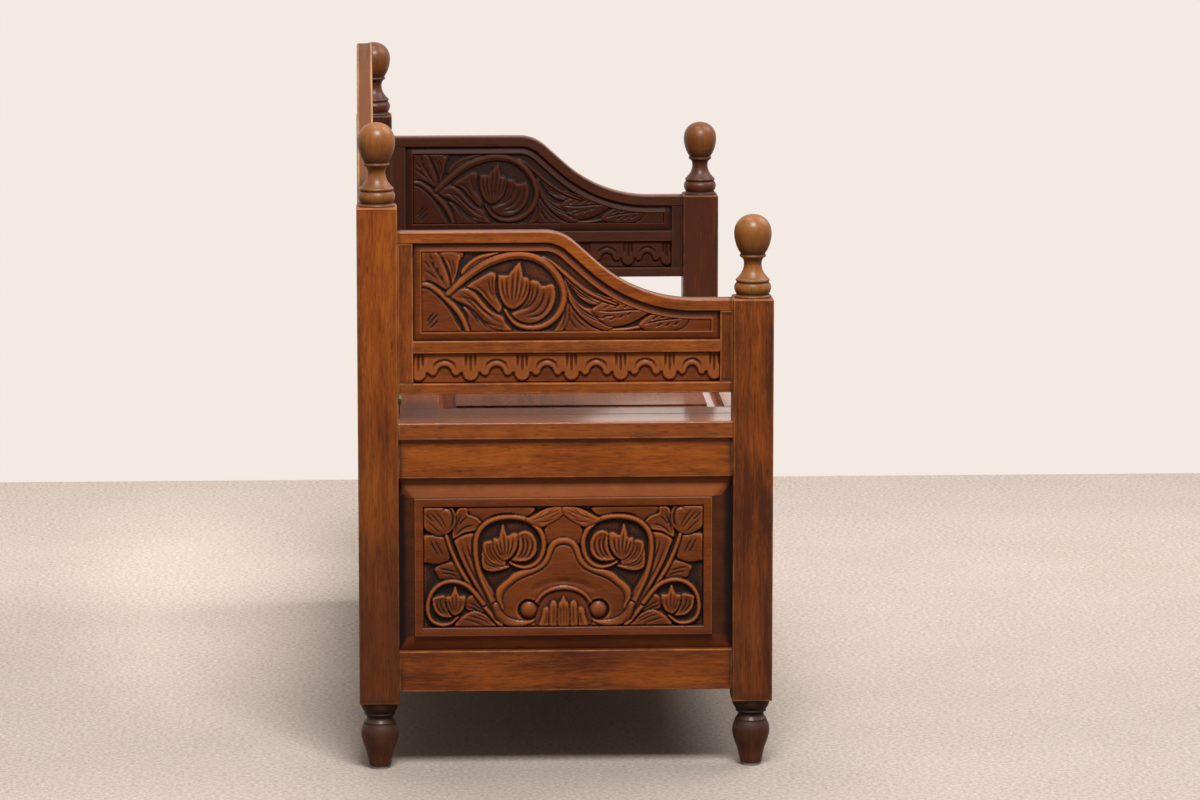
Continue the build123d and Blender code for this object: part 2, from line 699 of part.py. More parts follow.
with BuildPart() as back_panel:
    back_opening = (stile_x[1], muntin_x[0])
    with BuildSketch(back_plane):
        arch_face(
            *grown(back_opening, upper_reach),
            middle_rail_z[1] - upper_reach,
            CREST_RAIL - upper_reach,
        )
    extrude(amount=upper_tongue / 2, both=True)
    with BuildSketch(back_plane):
        arch_face(*grown(back_opening, -UPPER_PLAY), middle_rail_z[1] + UPPER_PLAY, CREST_RAIL + UPPER_PLAY)
    extrude(amount=BACK_PANEL / 2, both=True)
    back_ground = back_plane.offset(BACK_PANEL / 2 - UPPER_CARVED_DEPTH)
    with BuildSketch(back_ground):
        arch_face(
            *grown(back_opening, -UPPER_BORDER),
            middle_rail_z[1] + UPPER_BORDER,
            CREST_RAIL + UPPER_BORDER,
        )
    extrude(amount=UPPER_CARVED_DEPTH, mode=Mode.SUBTRACT)
    with BuildSketch(back_ground):
        with Locations((muntin_x[0] - BACK_ROUNDEL_OUT, middle_rail_z[1] + BACK_ROUNDEL_UP)):
            roundel(UPPER_ROUNDEL_RADIUS)
    extrude(amount=UPPER_ROUNDEL_RISE)
save_pair(back_panel, "back_panel")

back_frieze_middle = Plane(
    origin=(0, middle_of(back_y), middle_of(frieze_z)), x_dir=(1, 0, 0), z_dir=(0, -1, 0)
)
back_frieze = frieze_panel(back_frieze_middle, inside_stiles_x[1] - inside_stiles_x[0], BACK_PANEL, (1,))
save(back_frieze, "back_frieze")

# Seat boards that stay fixed
seat_z = (rail_top, SEAT_HEIGHT)
hinge_y = post_inner_y - HINGE_SETBACK
end_board_x = (-half_length + SEAT_INSET, -half_length + SEAT_INSET + END_BOARD_WIDTH)
seat_front = -half_depth + SEAT_INSET
strip_y = (hinge_y + LID_REAR_GAP / 2, half_depth - SEAT_INSET)
strip_x = grown(clear_x, -SEAT_PLAY)
with BuildPart() as seat_end_board:
    block(end_board_x, (seat_front, post_inner_y - SEAT_PLAY), seat_z)
    fillet(seat_end_board.faces().sort_by(Axis.Z)[-1].edges().sort_by(Axis.X)[0], SEAT_EDGE)
    with Locations((-post_x, -post_y, middle_of(seat_z))):
        Box(POST + 2 * SEAT_PLAY, POST + 2 * SEAT_PLAY, SEAT_THICKNESS, mode=Mode.SUBTRACT)
    block(grown(strip_x, SEAT_PLAY), grown(strip_y, SEAT_PLAY), seat_z, Mode.SUBTRACT)
save_pair(seat_end_board, "seat_end_board")

# Hinges, along the line between the lid and the rear strip
hinge_z = SEAT_HEIGHT + KNUCKLE_RADIUS + KNUCKLE_LIFT
hinge_middles = [-half_length + HINGE_FROM_END, half_length - HINGE_FROM_END]
knuckle_length = HINGE_LENGTH / KNUCKLES
leaf_z = (SEAT_HEIGHT - LEAF_HEIGHT, hinge_z)
screw_z = SEAT_HEIGHT - LEAF_HEIGHT / 2
screw_xs = [
    middle + (number - (SCREWS - 1) / 2) * HINGE_LENGTH / SCREWS
    for middle in hinge_middles
    for number in range(SCREWS)
]


def leaf_y(side):
    """Thickness of the leaf on the strip (side 1) or on the lid (side -1)."""
    near = hinge_y + side * LEAF_GAP / 2
    return tuple(sorted((near, near + side * LEAF_THICKNESS)))


def screw_plane(side, x):
    """Plane of a screw's head, whose normal points out of the wood."""
    face = hinge_y + side * (LEAF_GAP / 2)
    return Plane(origin=(x, face, screw_z), x_dir=(1, 0, 0), z_dir=(0, -side, 0))


def screw_profile(margin):
    """Half outline of a countersunk screw, enlarged by margin, head at the top."""
    head = SCREW_HEAD_RADIUS + margin
    shank = SCREW_RADIUS + margin
    tip = -SCREW_LENGTH - margin
    with BuildLine() as outline:
        Polyline((0, 0), (head, 0), (shank, -(head - shank)), (shank, tip), (0, tip), close=True)
    make_face(outline.edges())


def screws(side, margin, mode=Mode.ADD):
    """The screws of one side, or the holes that they need."""
    for x in screw_xs:
        head_plane = screw_plane(side, x)
        upright = Plane(origin=head_plane.origin, x_dir=head_plane.x_dir, z_dir=(0, 0, -side))
        with BuildSketch(upright) as profile:
            screw_profile(margin)
        revolve(profile.sketch, axis=Axis(head_plane.origin, head_plane.z_dir), mode=mode)


def leaf_pockets(side):
    """Cut the seats of the hinge leaves and of their screws in a seat board."""
    for middle in hinge_middles:
        pocket_x = grown(centred(middle, HINGE_LENGTH), LEAF_PLAY)
        block(pocket_x, grown(leaf_y(side), LEAF_PLAY), grown(leaf_z, LEAF_PLAY), Mode.SUBTRACT)
    screws(side, SCREW_PLAY, Mode.SUBTRACT)


def knuckle_barrel(middle, radius, numbers, margin, mode=Mode.ADD):
    """The knuckles with the given numbers, as barrels on the hinge's axis."""
    for number in numbers:
        start = middle - HINGE_LENGTH / 2 + number * knuckle_length - margin
        with BuildSketch(Plane.YZ.offset(start)) as barrel:
            with Locations((hinge_y, hinge_z)):
                Circle(radius)
        extrude(barrel.sketch, amount=knuckle_length + 2 * margin, mode=mode)


def hinge_leaves(side):
    own = range(0, KNUCKLES, 2) if side == 1 else range(1, KNUCKLES, 2)
    other = [number for number in range(KNUCKLES) if number not in own]
    with BuildPart() as leaves:
        for middle in hinge_middles:
            block(centred(middle, HINGE_LENGTH), leaf_y(side), leaf_z)
            knuckle_barrel(middle, KNUCKLE_RADIUS, own, 0)
            knuckle_barrel(middle, KNUCKLE_RADIUS + KNUCKLE_PLAY, other, KNUCKLE_PLAY / 2, Mode.SUBTRACT)
            knuckle_barrel(middle, PIN_RADIUS + PIN_PLAY, range(KNUCKLES), 0, Mode.SUBTRACT)
        screws(side, SCREW_PLAY, Mode.SUBTRACT)
    return leaves


save(hinge_leaves(1), "hinge_fixed_leaves")
save(hinge_leaves(-1), "hinge_lid_leaves")

with BuildPart() as hinge_pins:
    for middle in hinge_middles:
        knuckle_barrel(middle, PIN_RADIUS, range(KNUCKLES), 0)
save(hinge_pins, "hinge_pins")

for side, name in ((1, "hinge_strip_screws"), (-1, "hinge_lid_screws")):
    with BuildPart() as hinge_screws:
        screws(side, 0)
    save(hinge_screws, name)

with BuildPart() as seat_rear_strip:
    block(strip_x, strip_y, seat_z)
    leaf_pockets(1)
save(seat_rear_strip, "seat_rear_strip")

# Lid: a frame with a raised panel
lid_x = grown((end_board_x[1], -end_board_x[1]), -LID_SIDE_GAP)
lid_y = (seat_front, hinge_y - LID_REAR_GAP / 2)
lid_z = (rail_top + LID_LIFT, SEAT_HEIGHT)
lid_opening_x = grown(lid_x, -LID_FRAME)
lid_opening_y = grown(lid_y, -LID_FRAME)
lid_tongue_z = (lid_z[0] + LID_GROOVE_BASE, lid_z[0] + LID_GROOVE_BASE + LID_TONGUE)
lid_tongue = (grown(lid_opening_x, LID_REACH), grown(lid_opening_y, LID_REACH), lid_tongue_z)

lid_front_y = (lid_y[0], lid_opening_y[0])
lid_rear_y = (lid_opening_y[1], lid_y[1])


def lid_tenon(rail_y):
    return (lid_tongue[0], grown(rail_y, -LID_TENON_SHOULDER), lid_tongue_z)


with BuildPart() as lid_stile:
    block((lid_x[0], lid_opening_x[0]), lid_y, lid_z)
    fillet(lid_stile.faces().sort_by(Axis.Z)[-1].edges().sort_by(Axis.Y)[0], SEAT_EDGE)
    groove(lid_tongue, 2)
    socket(lid_tenon(lid_front_y))
    socket(lid_tenon(lid_rear_y))
save_pair(lid_stile, "lid_stile")

with BuildPart() as lid_front_rail:
    block(lid_opening_x, lid_front_y, lid_z)
    fillet(lid_front_rail.faces().sort_by(Axis.Z)[-1].edges().sort_by(Axis.Y)[0], SEAT_EDGE)
    block(*lid_tenon(lid_front_y))
    groove(lid_tongue, 2)
save(lid_front_rail, "lid_front_rail")

with BuildPart() as lid_rear_rail:
    block(lid_opening_x, lid_rear_y, lid_z)
    block(*lid_tenon(lid_rear_y))
    groove(lid_tongue, 2)
    leaf_pockets(-1)
save(lid_rear_rail, "lid_rear_rail")

lid_bevel_rise = SEAT_HEIGHT - LID_STEP - lid_tongue_z[1]
lid_face = Plane.XY.offset(lid_tongue_z[1]).shift_origin(
    (middle_of(lid_opening_x), middle_of(lid_opening_y), lid_tongue_z[1])
)
lid_panel = fielded_panel(
    lid_face,
    lid_opening_x[1] - lid_opening_x[0],
    lid_opening_y[1] - lid_opening_y[0],
    LID_TONGUE,
    LID_REACH,
    LID_BEVEL,
    lid_bevel_rise,
    LID_STEP,
)
save(lid_panel, "lid_panel")


# Turned pieces
def turning_plane(x, y, z):
    """Upright plane through a post's axis, with its origin at height z."""
    return Plane(origin=(x, y, z), x_dir=(1, 0, 0), z_dir=(0, -1, 0))


def finial_outline():
    bead_base = FINIAL_FILLET
    lip_base = bead_base + FINIAL_BEAD
    cove_base = lip_base + FINIAL_LIP
    neck_base = cove_base + FINIAL_COVE
    ring_base = neck_base + FINIAL_NECK
    ball_base = ring_base + FINIAL_RING
    ball_middle = ball_base + FINIAL_BALL_FOOT
    bead_root = FINIAL_BEAD_RADIUS - FINIAL_FILLET
    with BuildLine() as outline:
        Polyline(
            (0, ball_middle + FINIAL_BALL_RADIUS),
            (0, -FINIAL_SPIGOT_LENGTH),
            (FINIAL_SPIGOT_RADIUS, -FINIAL_SPIGOT_LENGTH),
            (FINIAL_SPIGOT_RADIUS, 0),
            (FINIAL_FILLET_RADIUS, 0),
            (FINIAL_FILLET_RADIUS, bead_base),
            (bead_root, bead_base),
        )
        ThreePointArc(
            (bead_root, bead_base),
            (FINIAL_BEAD_RADIUS, (bead_base + lip_base) / 2),
            (bead_root, lip_base),
        )
        Polyline((bead_root, lip_base), (FINIAL_LIP_RADIUS, lip_base), (FINIAL_LIP_RADIUS, cove_base))
        TangentArc((FINIAL_NECK_RADIUS, neck_base), (FINIAL_LIP_RADIUS, cove_base), tangent=(0, -1))
        Line((FINIAL_NECK_RADIUS, neck_base), (FINIAL_NECK_RADIUS, ring_base))
        Line((FINIAL_NECK_RADIUS, ring_base), (FINIAL_BALL_FOOT_RADIUS, ring_base))
        ThreePointArc(
            (FINIAL_BALL_FOOT_RADIUS, ring_base),
            (FINIAL_RING_RADIUS, (ring_base + ball_base) / 2),
            (FINIAL_BALL_FOOT_RADIUS, ball_base),
        )
        TangentArc((FINIAL_BALL_RADIUS, ball_middle), (FINIAL_BALL_FOOT_RADIUS, ball_base), tangent=(0, -1))
        TangentArc((FINIAL_BALL_RADIUS, ball_middle), (0, ball_middle + FINIAL_BALL_RADIUS), tangent=(0, 1))
    make_face(outline.edges())


with BuildPart() as finials:
    for x, y in corners:
        with BuildSketch(turning_plane(x, y, front_post_top if y < 0 else rear_post_top)):
            finial_outline()
        revolve(axis=Axis((x, y, 0), (0, 0, 1)))
save(finials, "finials")


def foot_outline():
    groove_top = FOOT_HEIGHT - FOOT_COLLAR
    groove_base = groove_top - FOOT_GROOVE
    bulb_z = groove_base - FOOT_SHOULDER
    nail_radius = GLIDE_NAIL_RADIUS + SPIGOT_PLAY
    nail_top = GLIDE + GLIDE_NAIL_LENGTH + SPIGOT_PLAY
    with BuildLine() as outline:
        Polyline(
            (FOOT_ANKLE_RADIUS, GLIDE),
            (nail_radius, GLIDE),
            (nail_radius, nail_top),
            (0, nail_top),
            (0, FOOT_HEIGHT + FOOT_SPIGOT_LENGTH),
            (FOOT_SPIGOT_RADIUS, FOOT_HEIGHT + FOOT_SPIGOT_LENGTH),
            (FOOT_SPIGOT_RADIUS, FOOT_HEIGHT),
            (FOOT_COLLAR_RADIUS, FOOT_HEIGHT),
        )
        TangentArc((FOOT_COLLAR_RADIUS, FOOT_HEIGHT), (FOOT_GROOVE_RADIUS, groove_top), tangent=(0, -1))
        Line((FOOT_GROOVE_RADIUS, groove_top), (FOOT_GROOVE_RADIUS, groove_base))
        TangentArc((FOOT_BULB_RADIUS, bulb_z), (FOOT_GROOVE_RADIUS, groove_base), tangent=(0, 1))
        TangentArc((FOOT_BULB_RADIUS, bulb_z), (FOOT_ANKLE_RADIUS, GLIDE), tangent=(0, -1))
    make_face(outline.edges())


with BuildPart() as feet:
    for x, y in corners:
        with BuildSketch(turning_plane(x, y, 0)):
            foot_outline()
        revolve(axis=Axis((x, y, 0), (0, 0, 1)))
save(feet, "feet")

with BuildPart() as glides:
    with BuildSketch():
        with Locations(corners):
            Circle(GLIDE_RADIUS)
    extrude(amount=GLIDE)
    with BuildSketch(Plane.XY.offset(GLIDE)):
        with Locations(corners):
            Circle(GLIDE_NAIL_RADIUS)
    extrude(amount=GLIDE_NAIL_LENGTH)
save(glides, "glides")
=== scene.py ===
import bpy
import math
from contextlib import contextmanager
import numpy as np
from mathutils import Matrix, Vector


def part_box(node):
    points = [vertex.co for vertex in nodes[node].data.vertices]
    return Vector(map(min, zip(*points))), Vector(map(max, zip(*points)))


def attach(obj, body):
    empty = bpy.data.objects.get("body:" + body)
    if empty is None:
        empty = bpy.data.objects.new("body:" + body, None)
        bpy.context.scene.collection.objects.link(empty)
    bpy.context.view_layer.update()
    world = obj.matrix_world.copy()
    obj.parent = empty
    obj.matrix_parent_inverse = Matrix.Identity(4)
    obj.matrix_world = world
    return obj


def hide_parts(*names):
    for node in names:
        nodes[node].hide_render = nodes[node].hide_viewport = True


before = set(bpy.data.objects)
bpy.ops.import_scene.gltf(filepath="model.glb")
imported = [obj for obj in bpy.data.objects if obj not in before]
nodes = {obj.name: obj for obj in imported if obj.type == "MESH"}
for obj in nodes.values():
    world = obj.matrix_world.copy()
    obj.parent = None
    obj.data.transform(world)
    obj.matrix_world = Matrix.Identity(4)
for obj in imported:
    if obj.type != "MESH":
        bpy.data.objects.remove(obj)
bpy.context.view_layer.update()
mm = 0.001  # in metres
bpy.ops.object.select_all(action="DESELECT")
print("frame loaded,", len(nodes), "nodes")


# a shader socket that takes part in sums
class Value:
    def __init__(self, graph, socket):
        self.graph, self.socket = graph, socket

    def math(self, operation, *others):
        return self.graph.math(operation, self, *others)

    def __add__(self, other): return self.math("ADD", other)
    def __radd__(self, other): return self.math("ADD", other)
    def __sub__(self, other): return self.math("SUBTRACT", other)
    def __rsub__(self, other): return self.graph.math("SUBTRACT", other, self)
    def __mul__(self, other): return self.math("MULTIPLY", other)
    def __rmul__(self, other): return self.math("MULTIPLY", other)
    def __truediv__(self, other): return self.math("DIVIDE", other)
    def __rtruediv__(self, other): return self.graph.math("DIVIDE", other, self)
    def __neg__(self): return self.graph.math("SUBTRACT", 0, self)
    def __abs__(self): return self.math("ABSOLUTE")


# the nodes of one material
class Graph:
    def __init__(self, name):
        self.material = bpy.data.materials.new(name)
        self.material.use_nodes = True
        self.tree = self.material.node_tree
        self.shader = self.tree.nodes["Principled BSDF"]

    def feed(self, socket, value):
        if isinstance(value, Value):
            self.tree.links.new(value.socket, socket)
        else:
            socket.default_value = value

    # any node: its type, its settings, the values or links of its sockets
    def add(self, kind, settings=None, sockets=None, out=0):
        node = self.tree.nodes.new(kind)
        for key, setting in (settings or {}).items():
            if key == "stops":
                ramp = node.color_ramp.elements
                while len(ramp) < len(setting):
                    ramp.new(1)
                for stop, (at, colour) in zip(ramp, setting):
                    stop.position = at
                    stop.color = colour
            else:
                setattr(node, key, setting)
        for key, value in (sockets or {}).items():
            self.feed(node.inputs[key], value)
        return Value(self, node.outputs[out])

    def math(self, operation, *values):
        return self.add("ShaderNodeMath", {"operation": operation}, dict(enumerate(values)))

    def vector(self, operation, *values):
        return self.add("ShaderNodeVectorMath", {"operation": operation}, dict(enumerate(values)))

    def mix(self, share, first, second, blend="MIX"):
        settings = {"data_type": "RGBA", "blend_type": blend}
        return self.add("ShaderNodeMix", settings, {0: share, 6: first, 7: second}, 2)

    def axes(self, place):
        return [self.add("ShaderNodeSeparateXYZ", None, {0: place}, n) for n in range(3)]

    # 0 below low, 1 above high, smooth between
    def fade(self, value, low, high):
        sockets = {"Value": value, "From Min": low, "From Max": high}
        return self.add("ShaderNodeMapRange", {"interpolation_type": "SMOOTHSTEP"}, sockets)

    def noise(self, place, scale, detail=3.0, rough=0.55):
        sockets = {"Vector": place, "Scale": scale, "Detail": detail, "Roughness": rough}
        return self.add("ShaderNodeTexNoise", None, sockets)

    def finish(self, **sockets):
        for name, value in sockets.items():
            self.feed(self.shader.inputs[name.replace("_", " ")], value)
        return self.material


def paint(red, green, blue):  # colour of a swatch, 0 to 255
    def linear(c):
        c = c / 255
        return c / 12.92 if c < 0.04045 else ((c + 0.055) / 1.055) ** 2.4
    return (linear(red), linear(green), linear(blue), 1)


# woods: colours from 0 to 255, shares from 0 to 1
frameLook = {
    "dark": paint(82, 34, 6), "mid": paint(135, 65, 13), "light": paint(164, 87, 21),
    "glaze": paint(32, 15, 7), "lightening": paint(186, 116, 54), "figure": 1.15,
    "roughness": 0.4, "specular": 0.28, "coat": 0.1, "coatRoughness": 0.14, "fleck": 0.5, "grain": 0.2,
}
# carved sheets: their dark glaze colour paints wax and painted shade, their worn colour wear and painted
# highlight
carvedLook = {
    "dark": paint(72, 31, 8), "mid": paint(109, 50, 13), "light": paint(138, 70, 19),
    "glaze": paint(25, 11, 6), "lightening": paint(164, 90, 35), "figure": 0.7,
    "roughness": 0.43, "specular": 0.22, "coat": 0.1, "coatRoughness": 0.2, "fleck": 0.3, "grain": 0.12,
}
seatLook = {
    "dark": paint(78, 34, 10), "mid": paint(132, 64, 16), "light": paint(158, 82, 24),
    "glaze": paint(30, 14, 9), "lightening": paint(176, 106, 58), "figure": 0.9,
    "roughness": 0.38, "specular": 0.36, "coat": 1.0, "coatRoughness": 0.08, "fleck": 0.4, "grain": 0.14,
}
finialLook = {
    "dark": paint(94, 52, 17), "mid": paint(136, 82, 32), "light": paint(156, 102, 46),
    "glaze": paint(42, 20, 9), "lightening": paint(182, 134, 86), "figure": 0.7,
    "roughness": 0.38, "specular": 0.28, "coat": 0.1, "coatRoughness": 0.2, "fleck": 0.35, "grain": 0.1,
}
footLook = {
    "dark": paint(50, 23, 9), "mid": paint(84, 42, 17), "light": paint(112, 61, 27),
    "glaze": paint(18, 9, 6), "lightening": paint(118, 68, 40), "figure": 0.8,
    "roughness": 0.36, "specular": 0.3, "coat": 0.2, "coatRoughness": 0.12, "fleck": 0.4, "grain": 0.12,
}
boardLook = {
    "dark": paint(128, 92, 58), "mid": paint(158, 120, 80), "light": paint(182, 146, 104),
    "glaze": paint(84, 56, 34), "lightening": paint(188, 154, 114), "figure": 1.0,
    "roughness": 0.55, "specular": 0.3, "coat": 0.0, "coatRoughness": 0.3, "fleck": 0.25, "grain": 0.2,
}
crestLook = {**frameLook, "roughness": 0.56, "specular": 0.12, "coat": 0.0}
grain = {  # scales of the noises, per metre
    "sway": 3.2, "swayReach": 0.012, "streak": 62.0, "fibre": 430.0, "cloud": 6.5, "pore": 760.0,
    "fleck": 390.0, "fleckPatch": 17.0, "shift": (1.37, 2.11, 0.73), "relief": 0.0006,
    "long": 0.085, "fleckLong": 0.16,  # how far streaks and flecks are drawn out
    "cloudShare": 0.7, "fibreShare": 0.8, "poreShare": 0.65, "stops": (0.12, 0.52, 0.92),
    "fibreGloss": 0.16, "cloudGloss": 0.12, "wornDull": 0.5, "waxDull": 0.3,
}


def drawnOut(axis, share):
    return tuple(share if name == axis else 1 for name in "xyz")


# stained wood: grain along one axis, dark glaze and wear from the masks given; on carved sheets the masks
# also bring painted shade and painted highlight
def woodFinish(name, look, axis, seed, tone=0.0, masks=None, polish=None, shade=None):
    g = Graph(name)
    place = g.add("ShaderNodeTexCoord", out=3)
    moved = g.vector("ADD", place, tuple(seed * step for step in grain["shift"]))
    drawn = g.vector("MULTIPLY", moved, drawnOut(axis, grain["long"]))
    sway = g.add("ShaderNodeTexNoise", None, {"Vector": moved, "Scale": grain["sway"], "Detail": 1.0}, 1)
    swayed = g.vector("ADD", drawn, g.vector("MULTIPLY", sway, (grain["swayReach"],) * 3))
    streak = g.noise(swayed, grain["streak"], 5.0, 0.62)
    fibre = g.noise(swayed, grain["fibre"], 3.0, 0.7)
    cloud = g.noise(moved, grain["cloud"], 2.0)
    pore = g.fade(g.noise(drawn, grain["pore"], 1.0, 0.4), 0.62, 0.74)
    figure = look["figure"]
    tint = (streak - 0.5) * figure + (cloud - 0.5) * grain["cloudShare"]
    tint = tint + (fibre - 0.5) * grain["fibreShare"] * figure + (0.5 + tone)
    stops = list(zip(grain["stops"], (look["dark"], look["mid"], look["light"])))
    body = g.add("ShaderNodeValToRGB", {"stops": stops}, {0: tint})
    body = g.mix(pore * grain["poreShare"], body, look["dark"])
    # short dark flecks in patches
    short = g.vector("MULTIPLY", moved, drawnOut(axis, grain["fleckLong"]))
    patch = g.fade(g.noise(moved, grain["fleckPatch"], 2.0), 0.38, 0.64)
    fleck = g.fade(g.noise(short, grain["fleck"], 3.0, 0.6), 0.56, 0.7) * patch
    body = g.mix(fleck * look["fleck"], body, look["glaze"])
    glaze, lightening = masks(g, place, cloud) if masks else (None, None)
    if lightening is not None:
        body = g.mix(lightening, body, look["lightening"])
    if shade:
        share, colour = shade(g, place, cloud)
        body = g.mix(share, body, colour)
    if glaze is not None:
        body = g.mix(glaze, body, look["glaze"])
    gloss = look["roughness"] + (fibre - 0.5) * grain["fibreGloss"] + (cloud - 0.5) * grain["cloudGloss"]
    sheen = polish(g, place) * look["coat"] if polish else look["coat"]
    if lightening is not None:  # rubbed arrises have lost their polish, and so have the painted highlights of carved sheets
        gloss = gloss + lightening * grain["wornDull"]
        sheen = (1 - lightening) * sheen
    if glaze is not None:  # wax in the cuts is dull, and so is the painted shade of carved sheets
        gloss = gloss + glaze * grain["waxDull"]
        sheen = (1 - glaze) * sheen
    height = fibre * 0.5 + streak * 0.3 - pore * 0.7
    sockets = {"Strength": look["grain"], "Distance": grain["relief"], "Height": height}
    bump = g.add("ShaderNodeBump", None, sockets)
    return g.finish(
        Base_Color=body,
        Roughness=gloss,
        Normal=bump,
        Specular_IOR_Level=look["specular"],
        Coat_Weight=sheen,
        Coat_Roughness=look["coatRoughness"],
    )


wear = {  # widths in metres, shares from 0 to 1
    "arris": (0.0008, 0.0026), "arrisShare": 0.6, "rubScale": 38.0,
    "end": (0.0004, 0.007), "shade": (0.001, 0.011), "shadeShare": 0.34,
    "smear": (0.002, 0.024), "smearShare": 0.5, "smearScale": 300.0,
}


# masks of a straight member: light worn arrises, dark glaze where it meets its neighbours
def memberMasks(low, high, axis, ends):
    def masks(g, place, cloud):
        sides = zip(g.axes(place), low, high)
        gaps = [g.math("MINIMUM", abs(part - start), abs(part - end)) for part, start, end in sides]
        nearest = g.math("MINIMUM", gaps[0], gaps[1])
        other = g.math("MAXIMUM", gaps[0], gaps[1])
        edge = g.math("MAXIMUM", nearest, g.math("MINIMUM", other, gaps[2]))
        rub = g.fade(g.noise(place, wear["rubScale"], 3.0), 0.36, 0.62)
        lightening = (1 - g.fade(edge, *wear["arris"])) * (rub * 0.7 + 0.3) * wear["arrisShare"]
        stop = gaps["xyz".index(axis)]
        glaze = (1 - g.fade(stop + (cloud - 0.5) * 0.012, *wear["end"])) * ends
        shaded = (1 - g.fade(edge + (rub - 0.5) * 0.004, *wear["shade"])) * wear["shadeShare"]
        short = g.vector("MULTIPLY", place, drawnOut(axis, grain["fleckLong"]))
        smear = g.fade(g.noise(short, wear["smearScale"], 4.0, 0.68), 0.48, 0.68)
        smear = smear * (1 - g.fade(edge, *wear["smear"])) * wear["smearShare"]
        return g.math("MAXIMUM", glaze, g.math("MAXIMUM", shaded, smear)) * (1 - lightening), lightening
    return masks


stainsAndShades = {  # where the colour of a piece changes, in metres: a real stain on the rear panel; painted shade on the arms and right finials; partly stain and partly painted shade on the posts; a painted reflection and painted highlights on the crest
    "armMiddle": (0.5225, 0.5275), "armShade": paint(36, 8, 3),
    "armShadeShare": 0.86, "armInsideGloss": 0.3,
    "rearPostRise": 0.116, "ball": (0.638, 0.662), "finial": paint(66, 25, 12),
    "finialShadeShares": (0.86, 0.42),
    "postReach": (0.02, 0.62), "postInside": (0.5, 0.508), "post": paint(36, 14, 6),
    # crest: colour of the painted reflection on its top; crest edge: colour of the painted highlights on
    # its arrises
    "crestTop": (0.006, 0.0015), "crestArris": (0.0008, 0.0032), "crestShare": 0.88,
    "crest": paint(94, 57, 34), "crestEdgeHighlight": paint(196, 150, 98),
    "rearPanel": paint(84, 40, 16), "rearPanelShare": 0.86,
}


def paintedArmShade(g, place, cloud):  # arms: painted shade, darker towards the seat
    x, _, _ = g.axes(place)
    return (1 - g.fade(abs(x), *stainsAndShades["armMiddle"])) * stainsAndShades["armShadeShare"], stainsAndShades["armShade"]


def outerGloss(g, place):  # the arms' inner side has lost its polish
    x, _, _ = g.axes(place)
    return stainsAndShades["armInsideGloss"] + g.fade(abs(x), *stainsAndShades["armMiddle"]) * (1 - stainsAndShades["armInsideGloss"])


def farFinialShade(g, place, cloud):  # finials of the right end: painted shade, darker below the ball
    x, y, z = g.axes(place)
    rise = z - g.math("GREATER_THAN", y, 0.0) * stainsAndShades["rearPostRise"] + (cloud - 0.5) * 0.01
    below, paler = stainsAndShades["finialShadeShares"]
    share = g.math("GREATER_THAN", x, 0.0) * (below - g.fade(rise, *stainsAndShades["ball"]) * paler)
    return share, stainsAndShades["finial"]


def postStainAndShade(g, place, cloud):  # posts: darker near the floor, partly stain and partly painted shade, and painted shade on the seat's side
    x, y, z = g.axes(place)
    rear = g.math("GREATER_THAN", y, 0.0)
    reach = (1 - g.fade(z + (cloud - 0.5) * 0.2, *stainsAndShades["postReach"])) * (0.42 + 0.3 * rear)
    seatSide = (1 - g.fade(abs(x), *stainsAndShades["postInside"])) * (0.36 + 0.44 * rear)
    return g.math("MAXIMUM", reach, seatSide), stainsAndShades["post"]


def paintedCrestSheen(g, place, cloud):  # crest: a painted reflection, greyer brown, on its upper face, with painted highlights along the arrises
    x, y, z = g.axes(place)
    above = z - crestArch["centre"] * mm
    uneven = (cloud - 0.5) * 0.003
    reach = g.math("SQRT", x * x + above * above) + uneven
    low, high = (corner[1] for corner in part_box("crest_rail"))
    arris = g.math("MINIMUM", y - low, high - y) + uneven
    colour = g.mix(g.fade(arris, *stainsAndShades["crestArris"]), stainsAndShades["crestEdgeHighlight"], stainsAndShades["crest"])
    start, full = (crestArch["radius"] * mm - depth for depth in stainsAndShades["crestTop"])
    return g.fade(reach, start, full) * stainsAndShades["crestShare"], colour


def outerFace(g, place, cloud):  # rear panel: stained outside, bare inside the box
    _, y, _ = g.axes(place)
    middle = sum(corner[1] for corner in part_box("rear_panel")) / 2
    return g.math("GREATER_THAN", y, middle) * stainsAndShades["rearPanelShare"], stainsAndShades["rearPanel"]


def topFace(g, place):  # the seat is polished on top
    _, _, z = g.axes(place)
    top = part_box("lid_front_rail")[1][2]
    return g.fade(z, top - 0.0014, top - 0.0003)


# masks of a carved sheet, from its own attribute: above 0 in recesses, with wax and painted shade, below 0
# on the highs, with wear and painted highlight
def carvedMasks(g, place, cloud):
    recess = g.add("ShaderNodeAttribute", {"attribute_name": "glaze"}, None, 2)
    patchy = g.noise(place, 46.0, 3.0)
    glaze = g.fade(recess + (patchy - 0.5) * 0.3, 0.08, 0.9)
    lightening = g.fade(-recess + (patchy - 0.5) * 0.4, 0.14, 0.85) * 0.6
    return glaze, lightening


# masks of a turned piece: glaze by height, in the hollows of its profile
def turnedMasks(turning, frontStart, rearStart):
    def masks(g, place, cloud):
        _, y, z = g.axes(place)
        start = frontStart + (rearStart - frontStart) * g.math("GREATER_THAN", y, 0.0)
        rise = (z - start) / turning["stainHeight"] + (cloud - 0.5) * 0.02
        greys = [(at, (level, level, level, 1)) for at, level in turning["toneMap"]]
        return g.add("ShaderNodeValToRGB", {"stops": greys}, {0: rise}), None
    return masks


print("finishes ready")


